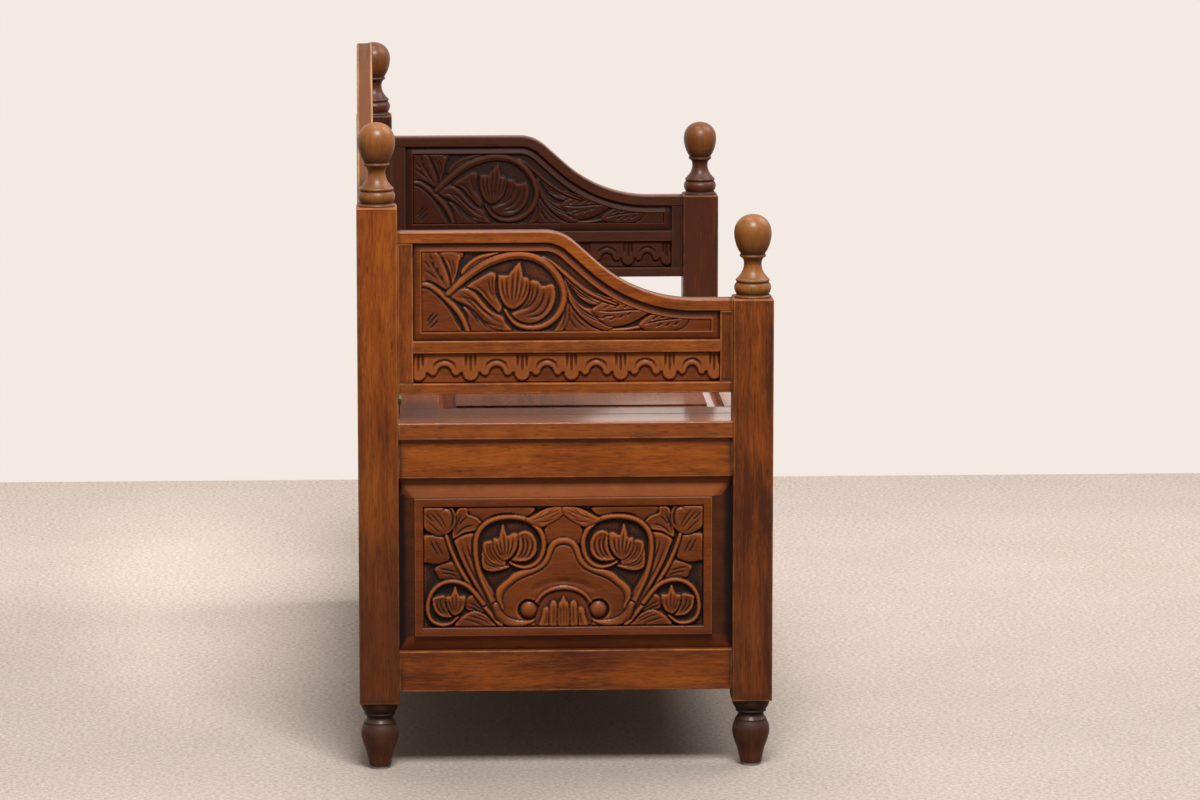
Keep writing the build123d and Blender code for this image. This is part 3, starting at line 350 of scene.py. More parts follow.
# relief carving is worked in mm, and 0 is the face of the panel
def smoothLine(points, closed=False, steps=7):
    pts = np.array(points, float)
    if closed:
        ring = np.vstack([pts[-1], pts, pts[0], pts[1]])
    else:
        ring = np.vstack([2 * pts[0] - pts[1], pts, 2 * pts[-1] - pts[-2]])
    t = np.linspace(0, 1, steps, endpoint=False)[:, None]
    runs = [
        0.5 * (2 * b + (c - a) * t + (2 * a - 5 * b + 4 * c - d) * t**2 + (3 * b - a - 3 * c + d) * t**3)
        for a, b, c, d in zip(ring, ring[1:], ring[2:], ring[3:])
    ]
    return np.vstack(runs + [pts[:1] if closed else pts[-1:]])


def softened(sheet, times):
    for _ in range(times):
        rows = np.pad(sheet, ((1, 1), (0, 0)), mode="edge")
        sheet = (rows[:-2] + 2 * rows[1:-1] + rows[2:]) / 4
        columns = np.pad(sheet, ((0, 0), (1, 1)), mode="edge")
        sheet = (columns[:, :-2] + 2 * columns[:, 1:-1] + columns[:, 2:]) / 4
    return sheet


# a sheet that shapes are laid on: u across, v up, h above the face of the panel
class Relief:
    def __init__(self, across, up, ground):
        self.u, self.v = across, up
        self.ground = ground
        ripple = np.sin(across * 0.9 + np.sin(up * 0.31) * 2)  # marks of the gouge
        ripple = ripple * np.sin(up * 0.75 + np.sin(across * 0.23) * 2)
        self.h = ground + 0.1 * ripple
        self.darkMarks = np.zeros_like(self.h)  # dark wax left in the cuts, and painted shade on the balls and in two broad hollows

    def pick(self, line, reach):
        low, high = line.min(0) - reach, line.max(0) + reach
        return np.nonzero((self.u > low[0]) & (self.u < high[0]) & (self.v > low[1]) & (self.v < high[1]))

    # distance to a line, and how far along it
    def measure(self, line, spot):
        u, v = self.u[spot], self.v[spot]
        steps = np.hypot(*np.diff(line, axis=0).T)
        run = np.concatenate([[0], np.cumsum(steps)]) / steps.sum()
        best, along = np.full(u.shape, 1e9), np.zeros(u.shape)
        for a, b, start, end in zip(line[:-1], line[1:], run[:-1], run[1:]):
            d = b - a
            t = np.clip(((u - a[0]) * d[0] + (v - a[1]) * d[1]) / max(d @ d, 1e-9), 0, 1)
            gap = np.hypot(u - a[0] - t * d[0], v - a[1] - t * d[1])
            near = gap < best
            best = np.where(near, gap, best)
            along = np.where(near, start + t * (end - start), along)
        return best, along

    def within(self, line, spot):
        u, v = self.u[spot], self.v[spot]
        inside = np.zeros(u.shape, bool)
        for a, b in zip(line[:-1], line[1:]):
            if a[1] != b[1]:
                cut = (b[0] - a[0]) * (v - a[1]) / (b[1] - a[1]) + a[0]
                inside ^= ((a[1] > v) != (b[1] > v)) & (u < cut)
        return inside

    # lays a shape over what is there, with a cut line round it
    def lay(self, spot, inside, outside, body, low, moat):
        h = self.h[spot]
        share = np.clip(outside / moat, 0, 1)
        low = np.maximum(low, self.ground - 0.6)
        rim = h * share + np.minimum(h, low) * (1 - share)
        self.h[spot] = np.where(inside, body, np.where(share < 1, rim, h))
        self.darkMarks[spot] = np.where(inside, 0, np.maximum(self.darkMarks[spot], 1 - share))

    def stem(self, points, width, top, crown=1.9, moat=1.5, depth=1.4):
        line = smoothLine(points)
        spot = self.pick(line, max(width) / 2 + moat)
        gap, along = self.measure(line, spot)
        half = np.interp(along, np.linspace(0, 1, len(width)), width) / 2
        share = np.minimum(gap / half, 1)
        self.lay(spot, gap < half, gap - half, top - crown * share**1.8, top - crown - depth, moat)

    # rounded from its edge up to its top, hollowed by cup, tipped by lean
    def leaf(
        self, outline, top, edge, rise, veins=(), moat=1.3, depth=1.2, vein=(2.5, 1.4), cup=0.0, lean=(0, 0)
    ):
        line = smoothLine(outline, True)
        spot = self.pick(line, moat)
        gap, _ = self.measure(line, spot)
        inside = self.within(line, spot)
        swell = np.clip(gap / rise, 0, 1)
        body = edge + (top - edge) * np.sqrt(1 - (1 - swell) ** 2)
        dip = np.clip((gap - 1.2) / rise, 0, 1)
        body = body - cup * dip * dip * (3 - 2 * dip)
        middle, half = (line.max(0) + line.min(0)) / 2, (line.max(0) - line.min(0)) / 2
        body = body + lean[0] * (self.u[spot] - middle[0]) / half[0]
        body = body + lean[1] * (self.v[spot] - middle[1]) / half[1]
        self.lay(spot, inside, np.where(inside, 0, gap), body, edge - depth, moat)
        for points in veins:
            self.groove(points, *vein)

    def ball(self, centre, radius, top):
        spot = self.pick(np.array([centre, centre], float), radius + 2)
        gap = np.hypot(self.u[spot] - centre[0], self.v[spot] - centre[1])
        body = top - 0.62 * radius * (1 - np.sqrt(np.clip(1 - (gap / radius) ** 2, 0, 1)))
        self.lay(spot, gap < radius, gap - radius, body, top - 0.6 * radius, 1.8)
        # painted shade on the ball: darker towards its rim and its lower side
        ballShade = np.clip((gap / radius) ** 2 * 0.9 - (self.v[spot] - centre[1]) / radius * 0.7, 0, 1)
        self.darkMarks[spot] = np.where(gap < radius, ballShade * 0.75, self.darkMarks[spot])

    def groove(self, points, width=2.3, depth=1.2, darkMarks=1.0):
        line = smoothLine(points)
        spot = self.pick(line, width)
        gap, along = self.measure(line, spot)
        taper = np.clip(np.minimum(along, 1 - along) * 4, 0, 1) ** 0.7
        share = np.clip(gap / (width / 2 * (0.45 + 0.55 * taper)), 0, 1)
        bite = taper * (0.5 + 0.5 * np.cos(math.pi * share))
        self.h[spot] -= depth * bite
        self.darkMarks[spot] = np.maximum(self.darkMarks[spot], darkMarks * bite ** np.clip(width / 2.6, 1, 2))


# edit mode on the active piece, with everything or nothing chosen
@contextmanager
def editing(action):
    bpy.ops.object.mode_set(mode="EDIT")
    bpy.ops.mesh.select_mode(type="EDGE")
    bpy.ops.mesh.select_all(action=action)
    yield
    bpy.ops.mesh.select_all(action="DESELECT")
    bpy.ops.object.mode_set(mode="OBJECT")


inField = 1e6  # distance from the rim that marks the carved field
play = 0.1  # between a panel and its frame, in mm


# grid lines that follow a panel's bevels, and how far each lies from the rim
def borderLines(low, high, offsets, step):
    last = offsets[-1]
    inner = np.linspace(low + last, high - last, max(2, round((high - low - 2 * last) / step)))
    lines = np.concatenate([low + np.array(offsets[:-1]), inner, high - np.array(offsets[-2::-1])])
    depth = np.concatenate([offsets, np.full(len(inner) - 2, inField), offsets[::-1]])
    return lines, depth


# grid primitive whose points are moved onto the carved sheet
def layGrid(name, points, glaze, border):
    rows, columns = glaze.shape
    bpy.ops.object.select_all(action="DESELECT")
    bpy.ops.mesh.primitive_grid_add(x_subdivisions=columns - 1, y_subdivisions=rows - 1, size=1)
    piece = bpy.context.object
    piece.name = piece.data.name = name
    piece.data.vertices.foreach_set("co", (points * mm).astype(np.float32).ravel())
    shade = piece.data.attributes.new("glaze", "FLOAT", "POINT")
    shade.data.foreach_set("value", glaze.astype(np.float32).ravel())
    picked = np.zeros((rows, columns), bool)
    for i in range(border):  # mitres of the border
        for corner in ((i, i), (i, -1 - i), (-1 - i, i), (-1 - i, -1 - i)):
            picked[corner] = True
    piece.data.vertices.foreach_set("select", picked.ravel())
    piece.data.edges.foreach_set("select", np.zeros(len(piece.data.edges), bool))
    piece.data.polygons.foreach_set("select", np.zeros(len(piece.data.polygons), bool))
    bpy.ops.object.mode_set(mode="EDIT")
    bpy.ops.mesh.select_mode(type="VERT")
    if border:
        bpy.ops.mesh.vert_connect()
    bpy.ops.mesh.select_all(action="DESELECT")
    bpy.ops.object.mode_set(mode="OBJECT")
    return piece


# the rim of a sheet is drawn back and filled there
def closeBehind(piece, push):
    front = len(piece.data.vertices)
    with editing("DESELECT"):
        bpy.ops.mesh.select_non_manifold()
        bpy.ops.mesh.extrude_edges_move(TRANSFORM_OT_translate={"value": [way * mm for way in push]})
        bpy.ops.mesh.edge_face_add()
    for mark in piece.data.attributes["glaze"].data[front:]:  # no wax and no painted shade on the back
        mark.value = 0


def choose(piece):
    bpy.ops.object.select_all(action="DESELECT")
    piece.select_set(True)
    bpy.context.view_layer.objects.active = piece


def twin(piece, name):  # the same piece on the right side
    other = piece.copy()
    other.data = piece.data.copy()
    other.name = other.data.name = name
    bpy.context.scene.collection.objects.link(other)
    choose(other)
    with editing("SELECT"):
        bpy.ops.transform.mirror(
            constraint_axis=(True, False, False), orient_type="GLOBAL", center_override=(0, 0, 0)
        )
        bpy.ops.mesh.flip_normals()
    return other


smoothAngle = math.radians(62)  # sharper edges stay sharp


def settle(piece, node, material, body="carcass"):
    piece.data.materials.clear()
    piece.data.materials.append(material)
    choose(piece)
    bpy.ops.object.shade_smooth_by_angle(angle=smoothAngle)
    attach(piece, body)
    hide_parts(node)


def settlePair(piece, node, material):  # the piece given is the left one
    settle(twin(piece, "right_" + node + "_carved"), "right_" + node, material)
    settle(piece, "left_" + node, material)


waxWearAndShading = {  # passes of softening and the mm that count as 1, then shares of dark and of light: wax in narrow hollows and wear on narrow ridges, painted shade in broad hollows and a painted highlight on broad highs; cuts is the share of wax, depth the share of painted shade on the deep ground
    "narrow": (9, 0.7), "broad": (45, 1.8), "dark": (0.34, 0.4), "lightening": (0.75, 0.6),
    "cuts": 0.5, "depth": 0.72,
}


# how dark or light each point is: wax in its cuts and narrow hollows, wear on narrow ridges, painted shade
# in broad hollows and on the deep ground, a painted highlight on broad highs
def waxWearAndShadingOf(height, darkMarks, ground):
    # wax from the cuts, plus painted shade the deeper the ground lies
    dark = softened(darkMarks, 2) * waxWearAndShading["cuts"] + np.clip(height / ground - 0.2, 0, 0.75) * waxWearAndShading["depth"]
    # narrow: wax in hollows and wear on ridges; broad: painted shade in hollows and a painted highlight on
    # highs
    for n, (passes, full) in enumerate((waxWearAndShading["narrow"], waxWearAndShading["broad"])):
        hollow = (softened(height, passes) - height) / full
        dark = dark + np.clip(hollow, 0, 1) * waxWearAndShading["dark"][n] - np.clip(-hollow, 0, 1) * waxWearAndShading["lightening"][n]
    return np.clip(dark, -1, 1)


def stack(x, y, z):  # grids of coordinates as one list of points
    return np.stack([x, y, z], -1).reshape(-1, 3)


# panels of the box, all sizes in mm
boxPanel = {
    "bevel": [0, 0.6, 11, 21.3, 22, 22.3, 22.9, 24, 32, 32.7, 33, 33.5],
    "height": [0, 0.16, 3, 5.85, 6, 8.7, 9, 9, 9, 8.8, 8.3, 4.4],
    "tongue": 4, "thickness": 8, "ground": -6, "endStep": 0.8, "frontStep": 1.0,
    "endSize": (415, 219), "endFace": -532, "frontSize": (475, 219), "frontFace": -239.5,
    "frontMiddle": -262.5, "middleHeight": 260.5,
    "fieldEdge": 22, "quirk": (22.1, 0.3), "arris": (22.9, 0.2), "innerWall": 32.9,  # from the rim
    "borderCut": (1.4, 0.9),  # width and slope
    "sheet": (133, 178, 1393, 710),  # the drawing below: left, top, right, bottom
    "endDrift": (-3, -3.4),  # the ends' raised fields sit a little off the middle
    "towardsSides": ([0.05, 0.2, 0.42], [-0.12, 0.06, 0.24]),  # share of the width, how much darker
    # bevels: the sides' darkness is wax and painted shade, the top's paleness a painted highlight, and the
    # dark along the frame partly painted shadow
    "sideWaxAndShade": 0.56, "topHighlight": 0.5, "frameDark": 0.7, "topFrameDark": 0.15,
    "quirkWax": 0.6, "wallWax": 0.8, "arrisWear": 0.9,
}


def drawBoxCarving(relief, halfWidth, halfHeight):
    left, top, right, bottom = boxPanel["sheet"]
    midX, midY = (left + right) / 2, (top + bottom) / 2
    scale = (halfWidth / (right - midX), halfHeight / (bottom - midY))

    def at(points, side=1):
        return [(side * (x - midX) * scale[0], (midY - y) * scale[1]) for x, y in points]

    def whole(half):  # a shape given by its left half, from its top centre down
        return at(half) + at(half[::-1], -1)

    def through(half):  # a line given by its left half, from the middle outwards
        return at(half[::-1]) + at(half[1:], -1)

    def pair(outline, topLevel, edge, rise, veins=(), lean=(0, 0), **more):  # a leaf on both sides
        for side in (1, -1):
            lines, tip = [at(line, side) for line in veins], (side * lean[0], lean[1])
            relief.leaf(at(outline, side), topLevel, edge, rise, lines, lean=tip, **more)

    def stems(points, width, topLevel, **more):
        for side in (1, -1):
            relief.stem(at(points, side), width, topLevel, **more)

    def grooves(points, *cut):
        for side in (1, -1):
            relief.groove(at(points, side), *cut)

    # plain surfaces between the ornament
    relief.leaf(
        whole([(763, 203), (735, 230), (690, 262), (676, 300), (690, 350), (720, 330)]),
        -2.6, -3.0, 4, depth=0.8, lean=(0, 0.5),
    )
    pair(
        [(338, 180), (480, 176), (630, 180), (600, 222), (520, 208), (450, 216), (405, 244), (385, 232),
         (345, 212)],
        -2.4, -2.8, 4, depth=0.8, lean=(0, 0.5),
    )
    # leaves behind the corner flower
    pair(
        [(262, 316), (270, 250), (280, 200), (300, 180), (330, 182), (334, 208), (352, 217), (385, 234),
         (398, 258), (380, 280), (345, 288), (315, 294), (285, 312)],
        -0.9, -2.4, 3,
        ([(266, 308), (282, 262), (304, 204)], [(274, 308), (316, 270), (366, 258)],
         [(290, 262), (312, 236), (330, 222)]),
        cup=1.0, lean=(0.3, 0.4),
    )
    pair(
        [(150, 300), (225, 310), (240, 345), (252, 405), (225, 424), (190, 431), (150, 425), (128, 415),
         (126, 330)],
        -1.5, -3.0, 8,
        ([(162, 318), (180, 358), (200, 392)], [(180, 316), (202, 356), (222, 396)]),
        lean=(0.2, 0.7),
    )
    pair(
        [(186, 446), (250, 422), (282, 436), (300, 470), (304, 502), (250, 502), (205, 498), (190, 472)],
        -2.4, -3.8, 6,
        ([(196, 448), (238, 456), (286, 468)], [(208, 470), (250, 474), (290, 488)]),
        lean=(0.3, 0.4),
    )
    # fluted sheath between the stems
    pair(
        [(272, 330), (300, 307), (335, 296), (366, 297), (372, 330), (368, 380), (385, 440), (415, 500),
         (450, 560), (470, 605), (480, 650), (468, 690), (430, 640), (380, 560), (335, 480), (300, 410),
         (283, 365)],
        -1.3, -2.8, 5,
        ([(296, 322), (313, 380), (348, 460), (398, 545), (452, 632)],
         [(322, 308), (336, 370), (366, 445), (413, 525), (462, 612)],
         [(348, 302), (353, 360), (378, 430), (423, 505), (464, 585)]),
        vein=(3.2, 1.8), lean=(0, 0.5),
    )
    # leaves that fill the lower corner
    pair(
        [(322, 590), (355, 568), (385, 600), (414, 636), (400, 648), (360, 644), (325, 634)],
        -1.9, -3.4, 5,
        ([(328, 598), (362, 614), (404, 640)], [(326, 622), (356, 628), (384, 640)]),
        lean=(0, 0.6),
    )
    pair(
        [(296, 672), (350, 640), (405, 652), (445, 690), (464, 710), (380, 712), (276, 710)],
        -1.6, -3.2, 6,
        ([(320, 656), (380, 672), (440, 702)], [(300, 674), (350, 684), (404, 706)],
         [(360, 650), (404, 668), (436, 690)]),
        lean=(0, 0.6),
    )
    # smooth bell-shaped field with its rolled edge
    relief.leaf(
        whole([(763, 316), (735, 320), (712, 335), (698, 358), (690, 385), (668, 412), (640, 435),
               (600, 450), (560, 463), (530, 478), (508, 500), (478, 522), (460, 545), (455, 572),
               (462, 612), (482, 652), (520, 690), (620, 708)]),
        -1.4, -2.6, 16, lean=(0, 0.3),
    )
    rib = [
        (763, 330), (737, 334), (716, 348), (703, 372), (690, 406), (668, 434), (632, 455), (588, 471),
        (548, 489), (518, 512), (492, 536), (476, 560), (473, 592), (482, 628),
    ]
    ribWidth = [7.5, 8, 8.5, 8, 7.5, 7.5, 7.5, 8, 8.5, 8, 7.5]
    relief.stem(through(rib), ribWidth, -0.2, crown=1.2, depth=0.9)
    line = [
        (763, 349), (741, 352), (724, 364), (712, 388), (698, 424), (672, 454), (634, 474), (592, 490),
        (554, 509), (526, 532), (503, 556), (492, 580), (489, 606), (496, 636),
    ]
    relief.groove(through(line), 2.6, 1.3)
    # two broad shallow hollows with painted shade in them: above the fan's arch, and round the ball
    grooves([(610, 560), (660, 528), (715, 512), (763, 508), (800, 509)], 15, 1.1, 0.3)
    grooves([(556, 660), (566, 620), (590, 596), (618, 592)], 9, 1.0, 0.35)
    # flower inside the large scroll
    pair(
        [(400, 345), (394, 395), (400, 452), (450, 466), (520, 447), (490, 435), (445, 420), (415, 385)],
        -1.4, -3.0, 4, ([(404, 396), (420, 432), (476, 452)],), cup=0.6,
    )
    pair(
        [(553, 302), (590, 286), (626, 304), (643, 345), (638, 387), (612, 414), (575, 423), (530, 417),
         (548, 395), (560, 360), (560, 325)],
        -0.7, -2.6, 4,
        ([(572, 300), (584, 345), (574, 386), (548, 410)],
         [(590, 304), (602, 348), (590, 390), (562, 414)],
         [(612, 312), (624, 350), (610, 392), (580, 418)]),
        cup=1.4, lean=(0.8, 0), vein=(3.6, 1.7),
    )
    pair(
        [(448, 334), (420, 330), (400, 344), (408, 387), (440, 428), (492, 442), (504, 420), (472, 405),
         (452, 375)],
        -1.1, -2.8, 4,
        ([(430, 340), (436, 384), (474, 424)], [(418, 350), (424, 392), (460, 426)]),
        cup=1.0, lean=(-0.5, 0),
    )
    pair(
        [(445, 330), (452, 316), (470, 318), (477, 292), (490, 258), (504, 292), (512, 306), (535, 295),
         (556, 300), (559, 340), (546, 378), (525, 404), (497, 419), (470, 403), (449, 372)],
        -0.1, -2.8, 12,
        ([(459, 332), (468, 368), (488, 404)], [(474, 320), (481, 360), (494, 408)],
         [(491, 288), (497, 345), (499, 409)], [(513, 314), (514, 360), (505, 408)],
         [(536, 312), (531, 360), (512, 405)]),
        vein=(3.6, 1.9),
    )
    # scrolling stems
    stems(
        [(236, 306), (250, 350), (268, 395), (292, 445), (325, 500), (362, 560), (400, 612), (440, 660),
         (480, 702)],
        [5, 5.5, 5.5, 6, 7], -0.3, crown=2.0, moat=1.8,
    )
    stems(
        [(470, 668), (448, 610), (415, 545), (390, 490), (372, 425), (366, 360), (374, 305), (402, 262),
         (450, 234), (520, 224), (590, 234), (640, 265), (668, 310), (674, 352), (664, 398), (636, 432),
         (598, 447), (560, 444), (522, 427)],
        [9, 9, 8.5, 8, 7.5, 7, 6.5, 6.5, 6, 5, 2.5],
        -0.1, crown=2.2, moat=1.8,
    )
    grooves(
        [(452, 606), (421, 540), (397, 480), (381, 415), (376, 355), (385, 307), (411, 268), (455, 242)],
        2.2, 1.4,
    )
    grooves([(356, 300), (352, 360), (360, 425), (378, 490), (404, 548), (438, 612)], 2.4, 1.3)
    grooves([(684, 318), (690, 352), (680, 402), (650, 442), (604, 460)], 2.2, 1.0)
    stems(
        [(402, 608), (360, 556), (325, 525), (285, 510), (245, 508), (205, 522), (172, 552), (154, 596),
         (152, 645), (170, 682), (210, 699), (252, 694), (287, 666)],
        [7, 6.5, 6, 5.5, 5.5, 5.5, 5, 4.5, 2.5], -0.25, crown=2.0, moat=1.7,
    )
    # lower flower
    pair(
        [(175, 578), (228, 570), (232, 610), (250, 650), (260, 668), (210, 664), (180, 636), (172, 600)],
        -1.3, -3.0, 4,
        ([(206, 582), (212, 622), (240, 656)], [(190, 588), (196, 626), (226, 658)]),
        cup=0.9, lean=(-0.4, 0),
    )
    pair(
        [(232, 575), (252, 570), (263, 553), (275, 528), (286, 554), (296, 570), (322, 574), (320, 610),
         (305, 643), (270, 660), (245, 637), (233, 605)],
        -0.3, -2.8, 10,
        ([(245, 584), (252, 615), (265, 648)], [(261, 572), (264, 610), (269, 650)],
         [(277, 554), (279, 605), (274, 650)], [(300, 580), (297, 615), (281, 648)]),
    )
    # corner flower with its rolled petal
    pair(
        [(128, 172), (250, 172), (270, 190), (281, 228), (272, 266), (242, 297), (203, 307), (165, 293),
         (132, 262)],
        -0.3, -2.6, 12,
        ([(158, 198), (198, 240), (234, 290)], [(180, 190), (216, 234), (242, 286)],
         [(142, 232), (176, 262), (214, 299)], [(138, 204), (160, 226), (180, 244)]),
    )
    grooves([(214, 206), (226, 186), (250, 186), (263, 208), (264, 246), (246, 286)], 5.5, 1.9)
    # leaf over the large scroll
    pair(
        [(594, 238), (640, 212), (685, 188), (730, 176), (766, 170), (765, 208), (742, 232), (700, 256),
         (668, 271), (634, 262)],
        -0.4, -1.9, 6,
        ([(608, 241), (680, 219), (757, 186)], [(648, 226), (668, 206), (702, 188)],
         [(690, 212), (712, 194), (742, 182)], [(648, 247), (684, 246), (722, 232)],
         [(694, 231), (720, 222), (748, 204)]),
        lean=(0, 0.3),
    )
    # foot of the stems, curled round a ball
    stems(
        [(456, 616), (476, 660), (514, 688), (570, 697), (622, 684), (646, 660)],
        [9, 11, 11, 9, 6, 2.5], -0.3, crown=1.7,
    )
    for side in (1, -1):
        relief.ball(at([(606, 637)], side)[0], 12.2, -0.1)
    # fan under its arch
    arch = [(763, 538), (710, 546), (668, 568), (641, 600)]
    relief.leaf(
        whole([(763, 550), (712, 558), (676, 582), (653, 620), (650, 714)]),
        -3.4, -4.4, 10, cup=0.9,
    )
    relief.stem(through(arch), [4, 5, 5.5, 5, 4], -0.3, crown=1.4)
    pair(
        [(652, 714), (664, 662), (671, 632), (690, 625), (703, 640), (708, 714)],
        -1.2, -3.0, 4, ([(688, 646), (684, 680), (678, 708)],), lean=(0, 0.4),
    )
    pair(
        [(700, 714), (700, 626), (706, 603), (718, 596), (735, 615), (744, 714)],
        -0.9, -2.8, 4, ([(718, 618), (719, 660), (717, 708)],), lean=(0, 0.4),
    )
    ribs = (
        [(763, 606), (763, 650), (763, 708)],
        [(750, 620), (750, 660), (749, 708)],
        [(776, 620), (776, 660), (777, 708)],
    )
    relief.leaf(
        at([(738, 714), (738, 618), (750, 597), (763, 578), (776, 597), (788, 618), (788, 714)]),
        -0.4, -2.6, 6, [at(line) for line in ribs], lean=(0, 0.3),
    )


def drifted(line, size, drift):  # moves the raised field, and the bevels take up the difference
    half, field = size / 2, size / 2 - boxPanel["fieldEdge"]
    moved = [-size, -half, drift - field, drift + field, half, size]
    return np.interp(line, [-size, -half, -field, field, half, size], moved)


def boxPanelPiece(name, size, place, push, step, drift=(0, 0)):
    offsets = [-boxPanel["tongue"]] + boxPanel["bevel"]
    profile = [0] + boxPanel["height"]
    halfWidth, halfHeight = size[0] / 2, size[1] / 2
    across, deepAcross = borderLines(-halfWidth, halfWidth, offsets, step)
    up, deepUp = borderLines(-halfHeight, halfHeight, offsets, step)
    u, v = np.meshgrid(across, up)
    rim = np.minimum(*np.meshgrid(deepAcross, deepUp))
    inset = boxPanel["bevel"][-1]
    relief = Relief(u, v, boxPanel["ground"])
    drawBoxCarving(relief, halfWidth - inset, halfHeight - inset)
    edge = np.minimum(halfWidth - inset - np.abs(u), halfHeight - inset - np.abs(v))
    reach, slope = boxPanel["borderCut"]
    carving = relief.h - np.clip(reach - edge, 0, reach) * slope
    carving = np.clip(softened(carving, 1), boxPanel["ground"] - 1, -0.05)
    sheet = np.where(rim == inField, max(profile) + carving, np.interp(rim, offsets, profile))
    glaze = waxWearAndShadingOf(carving, relief.darkMarks, boxPanel["ground"])
    glaze = glaze + np.interp(np.abs(u) / size[0], *boxPanel["towardsSides"])  # darker towards the sides, paler in the middle
    # bevels: dark along the frame, most at the sides and below, partly wax in the joint and partly painted
    # shadow of the frame; dark all over at the sides, wax and painted shade; pale all over at the top, a
    # painted highlight
    sides = np.abs(u) / halfWidth > 1 - (halfHeight - np.abs(v)) / halfWidth
    tone = np.where(sides, boxPanel["sideWaxAndShade"], np.where(v < 0, 0.0, -boxPanel["topHighlight"]))
    along = np.where(sides | (v < 0), boxPanel["frameDark"], boxPanel["topFrameDark"])
    toneMap = np.where(rim < boxPanel["fieldEdge"], tone, 0) + np.clip(1 - np.abs(rim) / 4, 0, 1) * along
    quirk, arris = (np.abs(rim - boxPanel[line][0]) < boxPanel[line][1] for line in ("quirk", "arris"))
    toneMap = toneMap + quirk * boxPanel["quirkWax"] + (rim > boxPanel["innerWall"]) * boxPanel["wallWax"]
    toneMap = toneMap - arris * boxPanel["arrisWear"]
    glaze = np.where(rim == inField, glaze, toneMap)
    points = place(drifted(u, size[0], drift[0]), drifted(v, size[1], drift[1]), sheet)
    piece = layGrid(name, points, glaze, len(offsets))
    closeBehind(piece, push)
    return piece


def endPlace(u, v, h):
    return stack(boxPanel["endFace"] - h, -u, boxPanel["middleHeight"] + v)


def frontPlace(u, v, h):
    return stack(u + boxPanel["frontMiddle"], boxPanel["frontFace"] - h, boxPanel["middleHeight"] + v)


endWood = woodFinish("end panel wood", carvedLook, "y", 3, masks=carvedMasks)
frontWood = woodFinish("front panel wood", carvedLook, "x", 8, masks=carvedMasks)
endPanel = boxPanelPiece(
    "left_end_panel_carved", boxPanel["endSize"], endPlace, (boxPanel["thickness"], 0, 0),
    boxPanel["endStep"], boxPanel["endDrift"],
)
settlePair(endPanel, "end_panel", endWood)
frontPanel = boxPanelPiece(
    "left_front_panel_carved", boxPanel["frontSize"], frontPlace, (0, boxPanel["thickness"], 0),
    boxPanel["frontStep"],
)
settlePair(frontPanel, "front_panel", frontWood)
print("box panels carved,", len(endPanel.data.vertices), "points on an end panel")


# arms: carved panel under the S-curve, and the lunette frieze
upperPanel = {
    "bevel": [0, 0.5, 9.3, 9.9, 10.4, 11],
    "height": [-2.6, -2.45, -0.15, 0, -0.3, -3.2],
    "ground": -4, "bottom": 541,
    "slope": 2, "arris": (9.9, 0.3), "corner": 10.8,  # from the rim
    "frameDark": 0.9, "slopeWear": 0.5, "arrisWear": 0.5, "cornerWax": 1.2,
}
arm = {
    "rear": 188.5, "front": -191.5, "top": 663, "rail": 14, "middle": -525, "face": 9, "step": 0.9,
    "drawing": (178, 1025, 2723, 32),  # left, bottom, width and tilt of the drawing below
    "unit": (0.13955, 0.1379),  # mm to a unit of it, across and up
}
armCurve = {
    "rear": 677, "front": 591.2, "shoulder": 56, "hollow": 179, "slope": 42,
    "shoulderY": 4.49, "hollowY": -90.79,
}


def armTop(y, drop):  # height of the arm's S-curve, on a line drop below it
    c = armCurve
    slope = math.radians(c["slope"])
    turn = math.tan(slope / 2)
    small, large = c["shoulder"] - drop, c["hollow"] + drop
    shoulderY, hollowY = c["shoulderY"] + drop * turn, c["hollowY"] + drop * turn
    high, low = c["rear"] - drop, c["front"] - drop
    rearY, frontY = shoulderY + small * turn, hollowY - large * turn
    slopeTop = shoulderY - small * turn * math.cos(slope)
    slopeEnd = hollowY + large * turn * math.cos(slope)
    shoulder = high - small + np.sqrt(np.maximum(small**2 - (y - rearY) ** 2, 0))
    hollow = low + large - np.sqrt(np.maximum(large**2 - (y - frontY) ** 2, 0))
    straight = low + (y - hollowY) * math.tan(slope)
    zones = [y > rearY, y > slopeTop, y > slopeEnd, y > frontY]
    return np.select(zones, [high, shoulder, straight, hollow], low)


